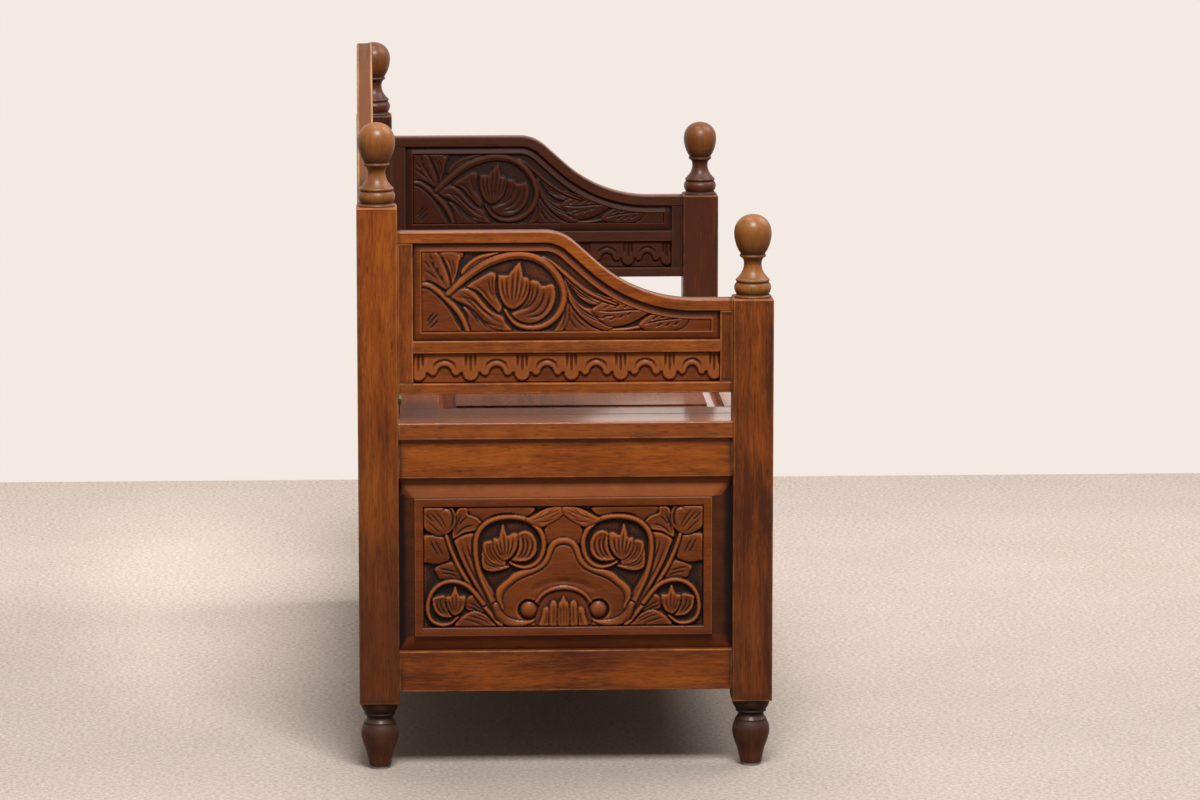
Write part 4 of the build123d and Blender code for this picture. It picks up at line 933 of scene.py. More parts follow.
def drawArmCarving(relief):
    left, bottom, width, tilt = arm["drawing"]
    across, up = arm["unit"]

    def at(points):  # from the rear end of the opening and its lower rail
        rear, foot = arm["rear"], upperPanel["bottom"]
        return [
            (rear - (x - left) * across, foot + (bottom - tilt * (x - left) / width - y) * up)
            for x, y in points
        ]

    def leaf(outline, top, edge, rise, veins=(), vein=(3.0, 1.6), **more):
        relief.leaf(at(outline), top, edge, rise, [at(line) for line in veins], vein=vein, **more)

    def stem(points, width, top, **more):
        relief.stem(at(points), width, top, **more)

    def groove(points, *cut):
        relief.groove(at(points), *cut)

    # rear corner: plain ground with strokes, a stem, and a fan of leaves
    leaf(
        [(250, 560), (330, 560), (420, 640), (500, 740), (560, 850), (590, 960), (250, 960)],
        -1.9, -2.2, 6,
        ([(298, 860), (335, 805), (370, 765)], [(300, 900), (350, 835), (412, 772)],
         [(325, 915), (368, 872), (408, 832)]),
    )
    leaf(
        [(680, 960), (665, 800), (620, 715), (740, 775), (830, 858), (930, 918), (1010, 960)],
        -1.7, -2.4, 5,
        ([(650, 700), (722, 800), (772, 878)], [(700, 760), (790, 850), (850, 920)]),
    )
    leaf(
        [(500, 610), (560, 570), (640, 543), (722, 580), (800, 670), (880, 758), (972, 800), (1002, 860),
         (1050, 930), (900, 914), (820, 852), (740, 772), (640, 702), (560, 662)],
        -0.8, -1.9, 5,
        ([(540, 622), (680, 640), (800, 740), (900, 826), (1000, 866)],
         [(620, 580), (722, 650), (822, 760), (962, 826)],
         [(562, 650), (700, 730), (822, 850), (1000, 908)],
         [(600, 600), (700, 690), (800, 800), (900, 880)]),
    )
    stem(
        [(240, 505), (330, 528), (400, 575), (470, 640), (550, 720), (612, 810), (652, 900), (668, 960)],
        [8, 8, 8, 7.5, 7], -0.6,
    )
    groove([(300, 548), (390, 610), (470, 700), (540, 800), (585, 900)], 2.0, 0.8)
    leaf(
        [(255, 215), (400, 215), (440, 300), (482, 400), (508, 500), (502, 572), (440, 545), (380, 507),
         (320, 482), (255, 470)],
        -0.7, -1.8, 6,
        ([(300, 255), (382, 382), (486, 545)], [(330, 240), (352, 300)], [(356, 300), (366, 356)],
         [(392, 352), (408, 412)], [(280, 300), (342, 372)], [(276, 372), (350, 428), (402, 472)],
         [(430, 430), (444, 480)]),
    )
    leaf(
        [(412, 212), (600, 215), (622, 258), (594, 300), (578, 380), (556, 452), (536, 532), (515, 565),
         (520, 480), (492, 372), (450, 282)],
        -0.9, -2.0, 5,
        ([(470, 250), (520, 350), (532, 480)], [(518, 270), (548, 360), (542, 455)],
         [(556, 236), (602, 240), (612, 292)]),
    )
    leaf(
        [(600, 402), (660, 320), (760, 253), (870, 226), (970, 213), (905, 242), (802, 292), (712, 362),
         (640, 432)],
        -0.8, -1.7, 4, ([(640, 390), (730, 310), (850, 250)],),
    )
    # front end: plain, then swooping stems and two veined leaves
    leaf(
        [(2560, 740), (2680, 730), (2860, 740), (2870, 960), (2500, 960), (2560, 850)],
        -1.2, -1.5, 4, depth=0.6,
    )
    leaf(
        [(1545, 655), (1600, 738), (1682, 830), (1762, 890), (1840, 930), (1560, 940), (1528, 850),
         (1535, 740)],
        -1.5, -2.3, 5,
        ([(1578, 758), (1652, 850), (1722, 905)], [(1560, 800), (1600, 870), (1640, 915)]),
    )
    leaf(
        [(1440, 905), (1500, 802), (1530, 702), (1548, 640), (1562, 780), (1532, 882), (1482, 950),
         (1390, 950)],
        -1.4, -2.3, 4,
        ([(1532, 700), (1522, 820), (1482, 905)],),
    )
    stem([(1880, 915), (2050, 912), (2200, 885), (2330, 842)], [4, 5, 5, 4], -1.0)
    leaf(
        [(2180, 862), (2260, 790), (2350, 755), (2480, 760), (2600, 775), (2628, 794), (2612, 850),
         (2540, 906), (2380, 918), (2240, 912)],
        -0.6, -1.9, 6,
        ([(2215, 868), (2350, 830), (2480, 812), (2612, 800)], [(2290, 826), (2350, 782)],
         [(2370, 812), (2432, 772)], [(2450, 802), (2512, 774)], [(2530, 800), (2572, 780)],
         [(2330, 888), (2392, 850)], [(2410, 884), (2462, 845)], [(2490, 874), (2536, 836)]),
    )
    leaf(
        [(1480, 338), (1600, 440), (1750, 558), (1900, 618), (1990, 628), (1900, 668), (1790, 692),
         (1690, 652), (1600, 560), (1520, 452)],
        -0.7, -1.8, 5,
        ([(1555, 440), (1660, 540), (1762, 602), (1872, 616)], [(1545, 480), (1640, 590), (1740, 650)]),
    )
    leaf(
        [(1520, 430), (1562, 555), (1622, 655), (1692, 708), (1762, 728), (1872, 770), (1962, 850),
         (1935, 908), (1860, 915), (1752, 868), (1642, 772), (1562, 652), (1530, 560)],
        -0.4, -1.8, 7,
        ([(1570, 600), (1660, 720), (1780, 800), (1900, 850)],),
    )
    leaf(
        [(1760, 736), (1830, 680), (1986, 630), (2142, 656), (2272, 720), (2290, 742), (2182, 814),
         (2062, 868), (1935, 884), (1860, 852), (1800, 792)],
        -0.4, -1.8, 7,
        ([(1782, 742), (1950, 746), (2122, 732), (2272, 730)], [(1850, 728), (1930, 682)],
         [(1945, 726), (2020, 674)], [(2040, 718), (2102, 676)], [(2130, 714), (2180, 690)],
         [(1838, 816), (1900, 788), (1962, 788)], [(1915, 832), (1982, 788)], [(1998, 812), (2052, 770)],
         [(2072, 786), (2116, 754)]),
    )
    stem(
        [(1335, 262), (1420, 318), (1510, 395), (1610, 485), (1722, 570), (1850, 635), (1980, 682)],
        [3, 5, 6, 6, 5, 3], -0.5,
    )
    groove([(1400, 345), (1500, 440), (1610, 540), (1730, 620), (1860, 668)], 2.6, 1.4)
    groove([(1560, 470), (1650, 575), (1760, 650), (1850, 680)], 2.4, 1.3)
    groove([(1556, 590), (1622, 700), (1720, 790), (1850, 846), (1940, 872)], 2.6, 1.4)
    groove([(1600, 640), (1680, 730), (1790, 790), (1900, 822)], 2.2, 1.1)
    # flower in its scroll
    leaf(
        [(655, 530), (760, 455), (860, 400), (915, 425), (905, 520), (920, 620), (964, 702), (942, 768),
         (870, 702), (800, 622), (740, 566)],
        -0.9, -2.0, 6,
        ([(846, 440), (858, 540), (900, 645)], [(884, 428), (884, 540), (916, 645)],
         [(720, 510), (800, 570), (880, 680)]),
    )
    leaf(
        [(1212, 480), (1280, 476), (1330, 520), (1418, 506), (1442, 600), (1422, 702), (1352, 802),
         (1242, 860), (1130, 846), (1050, 776), (1120, 736), (1190, 652), (1216, 560)],
        -0.6, -2.1, 8,
        ([(1392, 570), (1372, 690), (1302, 782), (1176, 812)],
         [(1284, 496), (1274, 600), (1222, 692), (1118, 752)],
         [(1340, 540), (1326, 650), (1262, 740), (1160, 786)],
         [(1240, 500), (1236, 600), (1190, 690), (1100, 756)]),
        vein=(4.6, 1.5), cup=0.6,
    )
    leaf(
        [(932, 440), (950, 424), (1015, 424), (1056, 380), (1122, 312), (1150, 400), (1160, 440),
         (1196, 450), (1213, 500), (1200, 592), (1160, 672), (1100, 722), (1045, 732), (990, 696),
         (950, 622), (932, 520)],
        -0.05, -1.8, 10,
        ([(964, 455), (974, 560), (1012, 684)], [(1010, 440), (1010, 560), (1036, 694)],
         [(1070, 392), (1056, 560), (1056, 704)], [(1118, 350), (1100, 520), (1076, 694)],
         [(1152, 444), (1136, 562), (1100, 684)], [(1186, 466), (1176, 572), (1130, 664)]),
        vein=(4.0, 1.6),
    )
    stem(
        [(492, 595), (560, 530), (640, 455), (730, 385), (830, 322), (930, 280), (1040, 250), (1150, 245),
         (1260, 268), (1360, 325), (1440, 410), (1495, 510), (1515, 610), (1495, 715), (1435, 810),
         (1345, 875), (1245, 900), (1145, 890), (1070, 850), (1020, 790), (995, 742)],
        [8, 9.5, 10.5, 10.5, 10, 9.5, 9.5, 9, 8.5, 7.5, 6, 3],
        -0.05, crown=1.7, moat=1.7,
    )
    groove(
        [(560, 556), (640, 478), (736, 404), (838, 340), (940, 298), (1045, 268), (1150, 264),
         (1252, 286), (1346, 340), (1422, 420), (1474, 516), (1493, 610), (1474, 706), (1418, 796),
         (1334, 856), (1245, 880)],
        2.4, 1.2,
    )


frieze = {
    "bays": 6, "backBays": 15, "height": 38, "bottom": 488, "ground": -4, "floor": -5, "step": 0.68,
    "spring": 12, "archCentre": 12.3, "archHalf": 8.6, "archFoot": 13, "dropHalf": 9.6, "dropTaper": 0.08,
    "lobe": (17.6, 14.4, 5.4),  # across, up, radius
    "rounding": 3.4, "edge": -1.8, "swell": 1.5, "hollow": -4.2, "hollowRise": (6, 0.6),
    "topFall": (29, 0.8), "archCut": (15.9, 2.3, 14.8), "sideCut": (5.7, 18),
    "cutDepth": 1.9, "cutWax": 1.4, "waxReach": 2.2,
    "armDrops": [6, 71, 135, 196, 257, 318, 373],  # laid out on the arms
    "borderCut": (1.3, 1.2), "paler": 0.52, "rimWax": 0.5,
}


# p from the start of the row, q above its lower edge; gives height and wax
def lunettes(p, q, pitch):
    f, half = frieze, pitch / 2
    p = np.abs((p + half) % pitch - half)  # from the middle of the nearest drop
    above = q - f["spring"]
    ring = np.hypot(p - half, q - f["archCentre"])
    drop = np.hypot(p, np.maximum(-above, 0)) - f["dropHalf"] + np.maximum(above, 0) * f["dropTaper"]
    spandrel = np.maximum(f["archFoot"] - q, f["archHalf"] - ring)
    lobe = np.hypot(p - f["lobe"][0], q - f["lobe"][1]) - f["lobe"][2]
    shape = np.minimum(np.minimum(spandrel, lobe), drop)
    inside = shape < 0
    swell = np.sqrt(1 - (1 - np.clip(-shape / f["rounding"], 0, 1)) ** 2)
    hollow = f["hollow"] + np.clip(shape / f["hollowRise"][0], 0, 1) * f["hollowRise"][1]
    h = np.where(inside, f["edge"] + f["swell"] * swell, hollow)
    darkMarks = np.where(inside, 0, np.clip(1 - shape / f["waxReach"], 0, 1))
    fall, sag = f["topFall"]
    h = h - sag * np.clip((q - fall) / (f["height"] - fall), 0, 1) ** 2
    radius, archWidth, archReach = f["archCut"]
    sideways, sideFoot = f["sideCut"]
    cuts = (  # gap to the middle of the cut, its half width, its depth where it runs
        (np.abs(ring - radius), archWidth, np.clip((archReach - np.abs(p - half)) / 4, 0, 1) * (above > 0)),
        (p, 0.7 + 1.7 * np.clip(above / 12, 0, 1),
         np.clip(above / 5, 0, 1) * np.clip((f["height"] - q) / 2, 0.3, 1)),
        (np.abs(p - sideways + (q - 20) * 0.03), 0.6 + 1.5 * np.clip((q - sideFoot) / 9, 0, 1),
         np.clip((q - sideFoot) / 5, 0, 1)),
    )
    for gap, width, depth in cuts:
        bite = np.where(inside, depth * np.clip(1 - (gap / width) ** 2, 0, 1), 0)
        h = h - f["cutDepth"] * bite
        darkMarks = np.maximum(darkMarks, f["cutWax"] * bite)
    return h, darkMarks


# half of a panel carved on both faces: its middle plane is X = 0 until it is mirrored
def bothFaces(piece, middle):
    with editing("DESELECT"):
        bpy.ops.mesh.select_non_manifold()
        bpy.ops.mesh.extrude_edges_move()
        bpy.ops.transform.resize(value=(0, 1, 1), orient_type="GLOBAL", center_override=(0, 0, 0))
    mirrored = piece.modifiers.new("inner face", "MIRROR")
    mirrored.merge_threshold = 0.0001
    bpy.ops.object.modifier_apply(modifier=mirrored.name)
    with editing("SELECT"):
        bpy.ops.transform.translate(value=(middle * mm, 0, 0))


# a panel of the arms or back, between two sides, a level rail and a curve drawn over it
def upperPiece(name, span, top, curve, step, draw, place, backwards=False):
    offsets, ground = upperPanel["bevel"], upperPanel["ground"]
    count = len(offsets)
    foot = upperPanel["bottom"] + play
    along, deepAlong = borderLines(span[0] + play, span[1] - play, offsets, step)
    if backwards:  # from the rear to the front
        along, deepAlong = along[::-1], deepAlong[::-1]
    rise, deepUp = borderLines(foot, top, offsets, step)
    share = np.linspace(0, 1, len(rise) - 2 * (count - 1))[:, None]
    low = foot + np.array(offsets)[:, None] + 0 * along
    high = np.array([curve(along, play + offset) for offset in offsets])
    v = np.vstack([low[:-1], low[-1] * (1 - share) + high[-1] * share, high[-2::-1]])
    u = np.broadcast_to(along, v.shape)
    rim = np.minimum(*np.meshgrid(deepAlong, deepUp))
    relief = Relief(u, v, ground)
    draw(relief)
    carving = np.clip(softened(relief.h, 1), ground - 0.8, -0.02)
    sheet = np.where(rim == inField, carving, np.interp(rim, offsets, upperPanel["height"]))
    # bevels: dark along the frame, pale on the arris, dark in the inner corner
    arris, reach = upperPanel["arris"]
    toneMap = np.clip(1 - rim / 2.5, 0, 1) * upperPanel["frameDark"]
    toneMap = toneMap - (rim > upperPanel["slope"]) * upperPanel["slopeWear"]
    toneMap = toneMap + (rim > upperPanel["corner"]) * upperPanel["cornerWax"]
    toneMap = toneMap - (np.abs(rim - arris) < reach) * upperPanel["arrisWear"]
    glaze = np.where(rim == inField, waxWearAndShadingOf(carving, relief.darkMarks, ground), toneMap)
    return layGrid(name, place(u, v, sheet), glaze, count)


def friezePiece(name, width, bays, place, drops=None):
    height, floor, pitch = frieze["height"], frieze["floor"], width / bays
    columns, rows = round(width / frieze["step"]), round(height / frieze["step"])
    u, v = np.meshgrid(np.linspace(play, width - play, columns), np.linspace(play, height - play, rows))
    laid = u
    if drops:
        even = pitch * np.arange(bays + 1)
        laid = np.interp(u, [0, *drops, width], [-drops[0], *even, 2 * width - drops[-1]])
    h, darkMarks = lunettes(laid, v, pitch)
    edge = np.minimum(np.minimum(u, width - u), np.minimum(v, height - v))
    reach, slope = frieze["borderCut"]
    h = np.maximum(softened(h, 1) - np.clip(reach - edge, 0, reach) * slope, floor)
    h[[0, -1]] = h[:, [0, -1]] = floor
    # the whole frieze is made paler: a painted sheen
    glaze = waxWearAndShadingOf(h, darkMarks, frieze["ground"]) - frieze["paler"]
    glaze = glaze + np.clip(1 - edge / 2, 0, 1) * frieze["rimWax"]
    return layGrid(name, place(u, v, h), glaze, 0)


# arm panels: painted shade on their side towards the seat
armWood = woodFinish(
    "arm panel wood", carvedLook, "y", 13, masks=carvedMasks, polish=outerGloss, shade=paintedArmShade
)
armPanel = upperPiece(
    "left_arm_panel_carved", (arm["front"], arm["rear"]), arm["top"] - play,
    lambda y, drop: armTop(y, arm["rail"] + drop), arm["step"], drawArmCarving,
    lambda u, v, h: stack(-arm["face"] - h, u, v), backwards=True,
)
bothFaces(armPanel, arm["middle"])
settlePair(armPanel, "arm_panel", armWood)
armFrieze = friezePiece(
    "left_arm_frieze_carved", arm["rear"] - arm["front"], frieze["bays"],
    lambda u, v, h: stack(-arm["face"] - h, arm["rear"] - u, frieze["bottom"] + v), frieze["armDrops"],
)
bothFaces(armFrieze, arm["middle"])
settlePair(armFrieze, "arm_frieze", armWood)
print("arms carved,", len(armPanel.data.vertices), "points on a panel")


# back: two panels under the arched crest, and a long frieze
back = {"front": 239, "thickness": 14, "step": 1.1, "left": -481, "right": -20, "top": 735, "crestRail": 60}
crestArch = {"radius": 908.333, "centre": -52.333}


def crestUnder(x, drop):  # height of the arch, on a line drop below it
    return crestArch["centre"] + np.sqrt((crestArch["radius"] - drop) ** 2 - x**2)


def drawBackCarving(relief):
    def leafAlong(line, half, top, edge, veinCount):  # a pointed leaf with ribs, along a bent line
        spine = smoothLine(line, steps=10)
        way = np.gradient(spine, axis=0)
        way = way / np.hypot(*way.T)[:, None]
        side = np.stack([-way[:, 1], way[:, 0]], 1)
        share = np.linspace(0, 1, len(spine))[:, None]
        bulge = half * np.sin(math.pi * share**0.8) ** 0.8
        ring = np.vstack([spine + side * bulge, (spine - side * bulge)[::-1]])[::4]
        veins = [spine[:: len(spine) // 5]]
        for n in range(veinCount):
            i = int(len(spine) * (0.16 + 0.7 * n / veinCount))
            j = min(len(spine) - 1, i + len(spine) // 9)
            for turn in (1, -1):
                middle = (spine[i] + spine[j]) / 2 + side[i] * turn * bulge[i] * 0.45
                end = spine[j] + side[j] * turn * bulge[j] * 0.72
                veins.append(np.array([spine[i] + side[i] * turn, middle, end]))
        relief.leaf(ring, top, edge, 6, veins)

    def flower(centre, size, tilt):
        c, s = math.cos(tilt), math.sin(tilt)

        def turn(points):
            turned = [(x * c - y * s, x * s + y * c) for x, y in points]
            return [(centre[0] + x * size, centre[1] + y * size) for x, y in turned]

        relief.leaf(
            turn([(2, 6), (14, 12), (26, 6), (30, -8), (24, -22), (8, -28), (-4, -24), (6, -18), (12, -8),
                  (12, 2)]),
            -0.7, -2.2, 7,
            [turn([(20, 6), (20, -8), (10, -20)]), turn([(14, 8), (14, -6), (4, -18)])],
        )
        relief.leaf(
            turn([(-10, 6), (-22, 10), (-30, 2), (-26, -14), (-12, -26), (0, -26), (-6, -18), (-12, -6)]),
            -0.9, -2.2, 7,
            [turn([(-22, 4), (-20, -10), (-8, -20)])],
        )
        relief.leaf(
            turn([(-12, 8), (-8, 14), (-3, 14), (2, 28), (7, 14), (12, 12), (14, 6), (12, -8), (4, -18),
                  (-4, -18), (-11, -8)]),
            -0.1, -1.8, 9,
            [turn([(x, 12), (x * 0.8 + 0.4, -2), (x * 0.35 + 0.2, -14)]) for x in (-8, -4, 0, 4, 8)],
        )

    # corner by the muntin: plain foot and a fan of leaves
    relief.leaf(
        [(-28, 548), (-112, 548), (-98, 585), (-72, 622), (-46, 652), (-28, 668)],
        -1.8, -2.2, 6,
        [[(-60, 566), (-74, 584), (-80, 606)], [(-46, 564), (-56, 590), (-60, 616)],
         [(-38, 600), (-44, 622), (-46, 640)]],
    )
    leafAlong([(-34, 690), (-44, 722), (-58, 752), (-72, 786)], 19, -0.7, -1.9, 5)
    leafAlong([(-70, 716), (-92, 752), (-132, 768), (-196, 762)], 13, -0.9, -2.0, 6)
    # leaves towards the stile
    leafAlong([(-186, 744), (-230, 738), (-280, 722), (-340, 690)], 11, -1.1, -2.1, 6)
    leafAlong([(-206, 690), (-262, 690), (-325, 668), (-388, 628)], 20, -0.6, -1.9, 8)
    leafAlong([(-340, 660), (-382, 650), (-424, 622), (-462, 586)], 15, -0.7, -2.0, 6)
    leafAlong([(-196, 628), (-250, 640), (-312, 622), (-372, 586)], 20, -0.5, -1.8, 8)
    leafAlong([(-346, 604), (-388, 602), (-426, 586), (-466, 558)], 12, -0.7, -2.0, 6)
    leafAlong([(-92, 566), (-150, 590), (-212, 590), (-282, 560)], 17, -0.7, -2.0, 8)
    leafAlong([(-232, 570), (-282, 584), (-330, 576), (-388, 556)], 11, -0.9, -2.0, 6)
    flower((-132, 666), 1.5, 0.12)
    # scrolls
    relief.stem(
        [(-462, 572), (-412, 606), (-352, 640), (-292, 656), (-238, 650), (-206, 622), (-186, 596)],
        [2.5, 5, 6.5, 7, 6.5, 6], -0.4, crown=1.5,
    )
    relief.stem(
        [(-28, 548), (-56, 592), (-62, 640), (-68, 692), (-98, 732), (-142, 742), (-182, 720),
         (-204, 680), (-198, 634), (-168, 604), (-128, 600), (-100, 618)],
        [9, 10.5, 10.5, 10, 9.5, 9, 8.5, 8, 6.5, 5, 3],
        -0.05, crown=1.6, moat=2.4,
    )
    relief.groove([(-46, 592), (-56, 640), (-62, 694), (-94, 737), (-144, 748), (-188, 724)], 2.4, 1.3)
    relief.stem(
        [(-198, 700), (-232, 712), (-278, 706), (-336, 674), (-396, 634)],
        [4, 6, 6, 5, 2.5], -0.5,
    )


backWood = woodFinish("back panel wood", carvedLook, "x", 21, masks=carvedMasks)
leftBack = upperPiece(
    "left_back_panel_carved", (back["left"], back["right"]), back["top"],
    lambda x, drop: crestUnder(x, back["crestRail"] + drop), back["step"], drawBackCarving,
    lambda u, v, h: stack(u, back["front"] - h, v),
)
closeBehind(leftBack, (0, back["thickness"] + upperPanel["height"][0], 0))
settlePair(leftBack, "back_panel", backWood)
backFrieze = friezePiece(
    "back_frieze_carved", -2 * back["left"], frieze["backBays"],
    lambda u, v, h: stack(u + back["left"], back["front"] - h, frieze["bottom"] + v),
)
closeBehind(backFrieze, (0, back["thickness"] + frieze["floor"], 0))
settle(backFrieze, "back_frieze", backWood)
print("back carved,", len(leftBack.data.vertices), "points on a panel")


members = {  # grain axis, how far its hidden tenons reach at each end in mm, tone
    "front_post": ("z", 0, -0.14), "rear_post": ("z", 0, 0.1),
    "end_top_rail": ("y", 18, 0.1), "end_bottom_rail": ("y", 18, -0.16),
    "front_top_rail": ("x", 18, 0.06), "front_bottom_rail": ("x", 18, -0.08), "front_muntin": ("z", 7, 0),
    "rear_top_rail": ("x", 18, 0), "rear_bottom_rail": ("x", 18, -0.06),
    "arm_top_rail": ("y", 14, 0.06), "arm_middle_rail": ("y", 4.5, 0.05),
    "arm_bottom_rail": ("y", 14, 0.06),
    "arm_rear_stile": ("z", 4.5, -0.06), "arm_front_stile": ("z", 4.5, -0.04),
    "crest_rail": ("x", 14, -0.12), "back_middle_rail": ("x", 4.5, 0), "back_bottom_rail": ("x", 14, 0),
    "back_stile": ("z", 4.5, -0.05), "back_muntin": ("z", 4.5, 0),
}
seatMembers = {
    # the seat end board's paler tone is partly a painted sheen
    "seat_end_board": ("y", 0, 0.18), "seat_rear_strip": ("x", 0, 0), "lid_front_rail": ("x", 7, 0.05),
    "lid_rear_rail": ("x", 7, 0), "lid_stile": ("y", 0, 0.02), "lid_panel": ("x", 7, -0.05),
}
boards = {"rear_panel": ("x", 7, -0.1), "floor_board": ("x", 0, 0), "floor_battens": ("x", 0, 0.1)}


def coat(node, material):
    for slot in nodes[node].material_slots:
        slot.link = "OBJECT"
        slot.material = material


endGlaze = {"joined": 0.85, "open": 0.3}
rightPostShade = -0.3  # the right end is darker: painted shade


def member(node, kind, look, axis, hidden, tone, seed):
    low, high = (list(corner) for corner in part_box(node))
    n = "xyz".index(axis)
    low[n] += hidden * mm
    high[n] -= hidden * mm
    masks = memberMasks(low, high, axis, endGlaze["joined" if hidden else "open"])
    # arms get painted shade, posts partly stain and partly painted shade, the crest a painted reflection
    # with painted highlights, the rear panel a real stain
    polish = shade = None
    if "arm_" in node:
        polish, shade = outerGloss, paintedArmShade
    elif node.endswith("post"):
        shade = postStainAndShade
        tone += rightPostShade if node.startswith("right_") else 0
    elif node == "crest_rail":
        look, shade = crestLook, paintedCrestSheen
    elif node == "rear_panel":
        shade = outerFace
    elif look is seatLook and node != "lid_panel":
        polish = topFace
    coat(node, woodFinish(kind + " " + node, look, axis, seed, tone, masks, polish, shade))


seed = 30
woods = (
    (frameLook, members, "frame wood"), (seatLook, seatMembers, "seat wood"), (boardLook, boards, "board"),
)
for look, pieces, kind in woods:
    for piece, (axis, hidden, tone) in pieces.items():
        for node in (piece, "left_" + piece, "right_" + piece):
            if node in nodes:
                seed += 1
                member(node, kind, look, axis, hidden, tone, seed)

finialTurning = {
    "sides": 48, "stainHeight": 0.1032,
    "outline": [  # radius and height above the post
        (22.4, 0), (22.5, 1.6), (21.0, 2.8), (20.2, 3.8), (21.0, 5.2), (22.3, 8), (23.0, 11.4),
        (22.5, 14.8), (20.9, 17.6), (19.9, 18.6), (20.6, 19.6), (21.2, 21.2), (20.6, 22.6), (19.2, 23.7),
        (17.6, 25.4), (15.9, 27.6), (14.2, 30), (12.7, 33), (11.5, 36.6), (11.0, 40.5), (11.3, 44.5),
        (12.3, 47.2), (13.6, 48.8), (15.4, 49.9), (16.2, 51), (16.1, 52.4), (15.2, 53.4), (15.3, 54.4),
        (17.2, 57.2), (19.3, 61.4), (21.2, 66.4), (22.6, 72), (23.3, 78), (22.9, 84), (21.2, 90),
        (17.6, 95.6), (13.0, 99.5), (7.6, 101.9), (3.2, 102.9), (1.0, 103.1),
    ],
    "toneMap": [  # share of the height, share of glaze
        (0, 0.8), (0.018, 0.2), (0.034, 0.95), (0.06, 0.25), (0.12, 0.0), (0.165, 0.3), (0.181, 0.95),
        (0.195, 0.15), (0.21, 0.1), (0.24, 0.35), (0.3, 0.1), (0.39, 0.05), (0.46, 0.35), (0.485, 0.5),
        (0.5, 0.05), (0.515, 0.9), (0.55, 0.45), (0.66, 0.12), (1, 0),
    ],
}
footTurning = {
    "sides": 48, "stainStart": 0.004, "stainHeight": 0.082,
    "outline": [  # radius and height above the floor
        (13.4, 4), (13.8, 5.5), (14.3, 8.5), (15.0, 12), (16.1, 17), (17.5, 22), (19.2, 27.3),
        (21.0, 32.3), (22.4, 37.4), (23.2, 42), (23.4, 46), (22.9, 50.4), (21.7, 54.2), (20.2, 57.2),
        (19.6, 58.4), (19.9, 59.3), (19.4, 60.2), (17.6, 62.4), (16.4, 64.4), (16.1, 66.2), (16.6, 67.6),
        (18.2, 68.6), (19.3, 69.6), (19.4, 70.8), (18.9, 71.8), (19.6, 72.9), (21.3, 75.2), (22.6, 78),
        (23.3, 81), (23.5, 84), (23.4, 86),
    ],
    "toneMap": [
        (0, 0.3), (0.1, 0.05), (0.4, 0.1), (0.52, 0.5), (0.62, 0.6), (0.66, 0.9), (0.69, 0.45),
        (0.76, 0.95), (0.8, 0.45), (0.83, 0.9), (0.9, 0.55), (1, 0.9),
    ],
}


# rings drawn up from a disc one after another, as on a lathe, then copied to the other posts
def turnedPiece(name, turning, places):
    rings = smoothLine(turning["outline"], steps=2) * mm
    bpy.ops.object.select_all(action="DESELECT")
    bpy.ops.mesh.primitive_circle_add(vertices=turning["sides"], radius=rings[0][0], fill_type="NGON")
    piece = bpy.context.object
    piece.name = piece.data.name = name
    with editing("SELECT"):
        bpy.ops.transform.translate(value=(0, 0, rings[0][1]))
        for (radius, height), (wider, higher) in zip(rings, rings[1:]):
            bpy.ops.mesh.extrude_region_move(TRANSFORM_OT_translate={"value": (0, 0, higher - height)})
            scale = (wider / radius, wider / radius, 1)
            bpy.ops.transform.resize(value=scale, orient_type="GLOBAL", center_override=(0, 0, 0))
        bpy.ops.mesh.select_all(action="SELECT")
        bpy.ops.mesh.normals_make_consistent(inside=False)
        bpy.ops.transform.translate(value=places[0])
        for here, there in zip(places, places[1:]):
            bpy.ops.mesh.duplicate()
            bpy.ops.transform.translate(value=there - here)
    return piece


postBoxes = [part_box(side + row + "_post") for side in ("left_", "right_") for row in ("front", "rear")]
postMiddles = [(Vector(low) + Vector(high)) / 2 for low, high in postBoxes]
postTops = [Vector((middle.x, middle.y, high[2])) for middle, (_, high) in zip(postMiddles, postBoxes)]
postFeet = [Vector((middle.x, middle.y, 0)) for middle in postMiddles]
finialMasks = turnedMasks(finialTurning, postTops[0].z, postTops[1].z)
finialWood = woodFinish("finial wood", finialLook, "z", 5, masks=finialMasks, shade=farFinialShade)
footMasks = turnedMasks(footTurning, footTurning["stainStart"], footTurning["stainStart"])
footWood = woodFinish("foot wood", footLook, "z", 6, masks=footMasks)
settle(turnedPiece("finials_turned", finialTurning, postTops), "finials", finialWood)
settle(turnedPiece("feet_turned", footTurning, postFeet), "feet", footWood)
print("finials and feet turned")


def metalFinish(name, colour, roughness, metallic):
    g = Graph(name)
    place = g.add("ShaderNodeTexCoord", out=3)
    cloud = g.noise(place, 60.0, 3.0)
    body = g.mix(g.fade(cloud, 0.4, 0.75) * 0.5, colour, tuple(c * 0.45 for c in colour[:3]) + (1,))
    return g.finish(Base_Color=body, Roughness=roughness + (cloud - 0.5) * 0.25, Metallic=metallic)


brass = metalFinish("hinge brass", paint(150, 124, 82), 0.4, 1.0)
for node in ("hinge_fixed_leaves", "hinge_lid_leaves", "hinge_pins"):
    coat(node, brass)
steel = metalFinish("screw steel", paint(176, 168, 152), 0.4, 1.0)
for node in ("hinge_strip_screws", "hinge_lid_screws"):
    coat(node, steel)
coat("glides", metalFinish("glide plastic", paint(142, 133, 125), 0.6, 0.0))
print("CAD pieces finished")


carpet = {
    "near": -14, "far": 1.55, "half": 9,  # metres
    "dark": paint(177, 160, 146), "pale": paint(224, 208, 196), "tuft": 170.0, "patch": 5.0,
    "thrownBack": 0.4,  # share of its light that reaches the bench
    "level": 0.8, "behind": 0.32, "right": 0.16, "beside": 0.42, "before": 0.17,
}


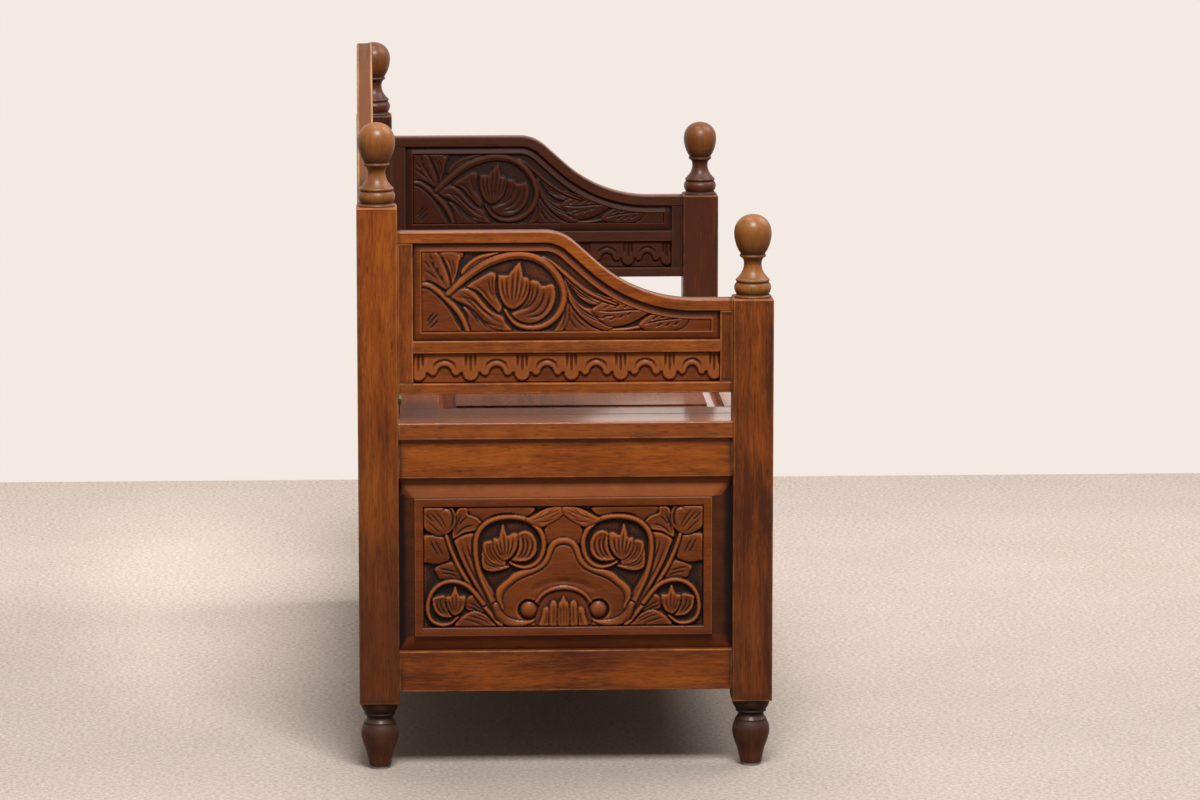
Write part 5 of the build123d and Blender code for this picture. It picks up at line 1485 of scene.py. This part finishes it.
def carpetFinish():
    g = Graph("pale carpet")
    place = g.add("ShaderNodeTexCoord", out=3)
    x, y, _ = g.axes(place)
    tuft = g.noise(place, carpet["tuft"], 5.0, 0.78)
    patch = g.noise(place, carpet["patch"], 3.0)
    pile = g.mix(g.fade(tuft * 0.92 + patch * 0.08, 0.3, 0.7), carpet["dark"], carpet["pale"])
    seen = g.add("ShaderNodeLightPath")
    pile = g.mix(seen * (1 - carpet["thrownBack"]) + carpet["thrownBack"], (0, 0, 0, 1), pile)
    # evens out the lamps: paler at the back, less shade beside the bench and more before its end
    besideX = g.fade(x, -0.4, 0.3) * (1 - g.fade(x, 0.7, 1.6))
    besideY = g.fade(y, 0.18, 0.36) * (1 - g.fade(y, 0.4, 0.75))
    beforeX = (1 - g.fade(x, -0.6, -0.35)) * g.fade(x, -1.3, -0.75)
    beforeY = 1 - g.fade(abs(y), 0.12, 0.42)
    lift = carpet["level"] + g.fade(x, -0.5, 1.25) * carpet["behind"]
    lift = lift + g.fade(y, 0.05, 0.6) * carpet["right"]
    lift = lift + besideY * besideX * carpet["beside"] - beforeY * beforeX * carpet["before"]
    grey = g.add("ShaderNodeCombineColor", None, {0: lift, 1: lift, 2: lift})
    bump = g.add("ShaderNodeBump", None, {"Strength": 0.5, "Distance": 0.004, "Height": tuft})
    return g.finish(Base_Color=g.mix(1.0, pile, grey, "MULTIPLY"), Roughness=0.95, Normal=bump)


bpy.ops.object.select_all(action="DESELECT")
bpy.ops.mesh.primitive_plane_add(size=1, location=(0, 0, 0))
floor = bpy.context.object
floor.name = "floor"
corners = [(x, side) for side in (-1, 1) for x in (carpet["near"], carpet["far"])]
for vertex, (x, side) in zip(floor.data.vertices, corners):
    vertex.co = (x, side * carpet["half"], 0)
floor.data.materials.append(carpetFinish())

scene = bpy.context.scene
scene.view_settings.view_transform = "Standard"
wall = {"colour": paint(243, 234, 227), "light": 0.2, "seen": 1.0}
world = bpy.data.worlds.new("pale room")
scene.world = world
world.use_nodes = True
tree = world.node_tree
tree.nodes.clear()
rays = tree.nodes.new("ShaderNodeLightPath")
share = rays.outputs["Is Camera Ray"]
for kind in ("Is Glossy Ray", "Is Transmission Ray"):
    either = tree.nodes.new("ShaderNodeMath")
    either.operation = "MAXIMUM"
    tree.links.new(share, either.inputs[0])
    tree.links.new(rays.outputs[kind], either.inputs[1])
    share = either.outputs[0]
blend = tree.nodes.new("ShaderNodeMixShader")
tree.links.new(share, blend.inputs[0])
for n, strength in ((1, wall["light"]), (2, wall["seen"])):
    backdrop = tree.nodes.new("ShaderNodeBackground")
    backdrop.inputs["Color"].default_value = wall["colour"]
    backdrop.inputs["Strength"].default_value = strength
    tree.links.new(backdrop.outputs[0], blend.inputs[n])
tree.links.new(blend.outputs[0], tree.nodes.new("ShaderNodeOutputWorld").inputs["Surface"])

lamps = {  # place, what it looks at, size, watts
    "key": ((-2.6, -0.22, 3.7), (-0.3, 0, 0.4), 1.3, 205),
    "overhead": ((0.2, 0.4, 3.4), (0.1, 0, 0.4), 1.2, 24),
    "front": ((0.5, -2.2, 3.1), (0, 0, 0.4), 2.0, 60),
}
for name, (spot, aim, size, watts) in lamps.items():
    lamp = bpy.data.lights.new(name, "AREA")
    lamp.size = size
    lamp.energy = watts
    holder = bpy.data.objects.new(name, lamp)
    holder.location = spot
    holder.rotation_mode = "QUATERNION"
    holder.rotation_quaternion = (Vector(aim) - Vector(spot)).to_track_quat("-Z", "Y")
    scene.collection.objects.link(holder)

view = {"place": (-7.137, 0.249, 1.534), "down": 9.18, "right": 2.53, "lens": 162, "sensor": 36}
camera = bpy.data.cameras.new("camera")
camera.lens = view["lens"]
camera.sensor_fit = "HORIZONTAL"
camera.sensor_width = view["sensor"]
eye = bpy.data.objects.new("camera", camera)
eye.location = view["place"]
down, right = math.radians(view["down"]), math.radians(view["right"])
ahead = Vector((math.cos(down) * math.cos(right), -math.cos(down) * math.sin(right), -math.sin(down)))
eye.rotation_mode = "QUATERNION"
eye.rotation_quaternion = ahead.to_track_quat("-Z", "Y")
scene.collection.objects.link(eye)
scene.camera = eye
print("stage lit")
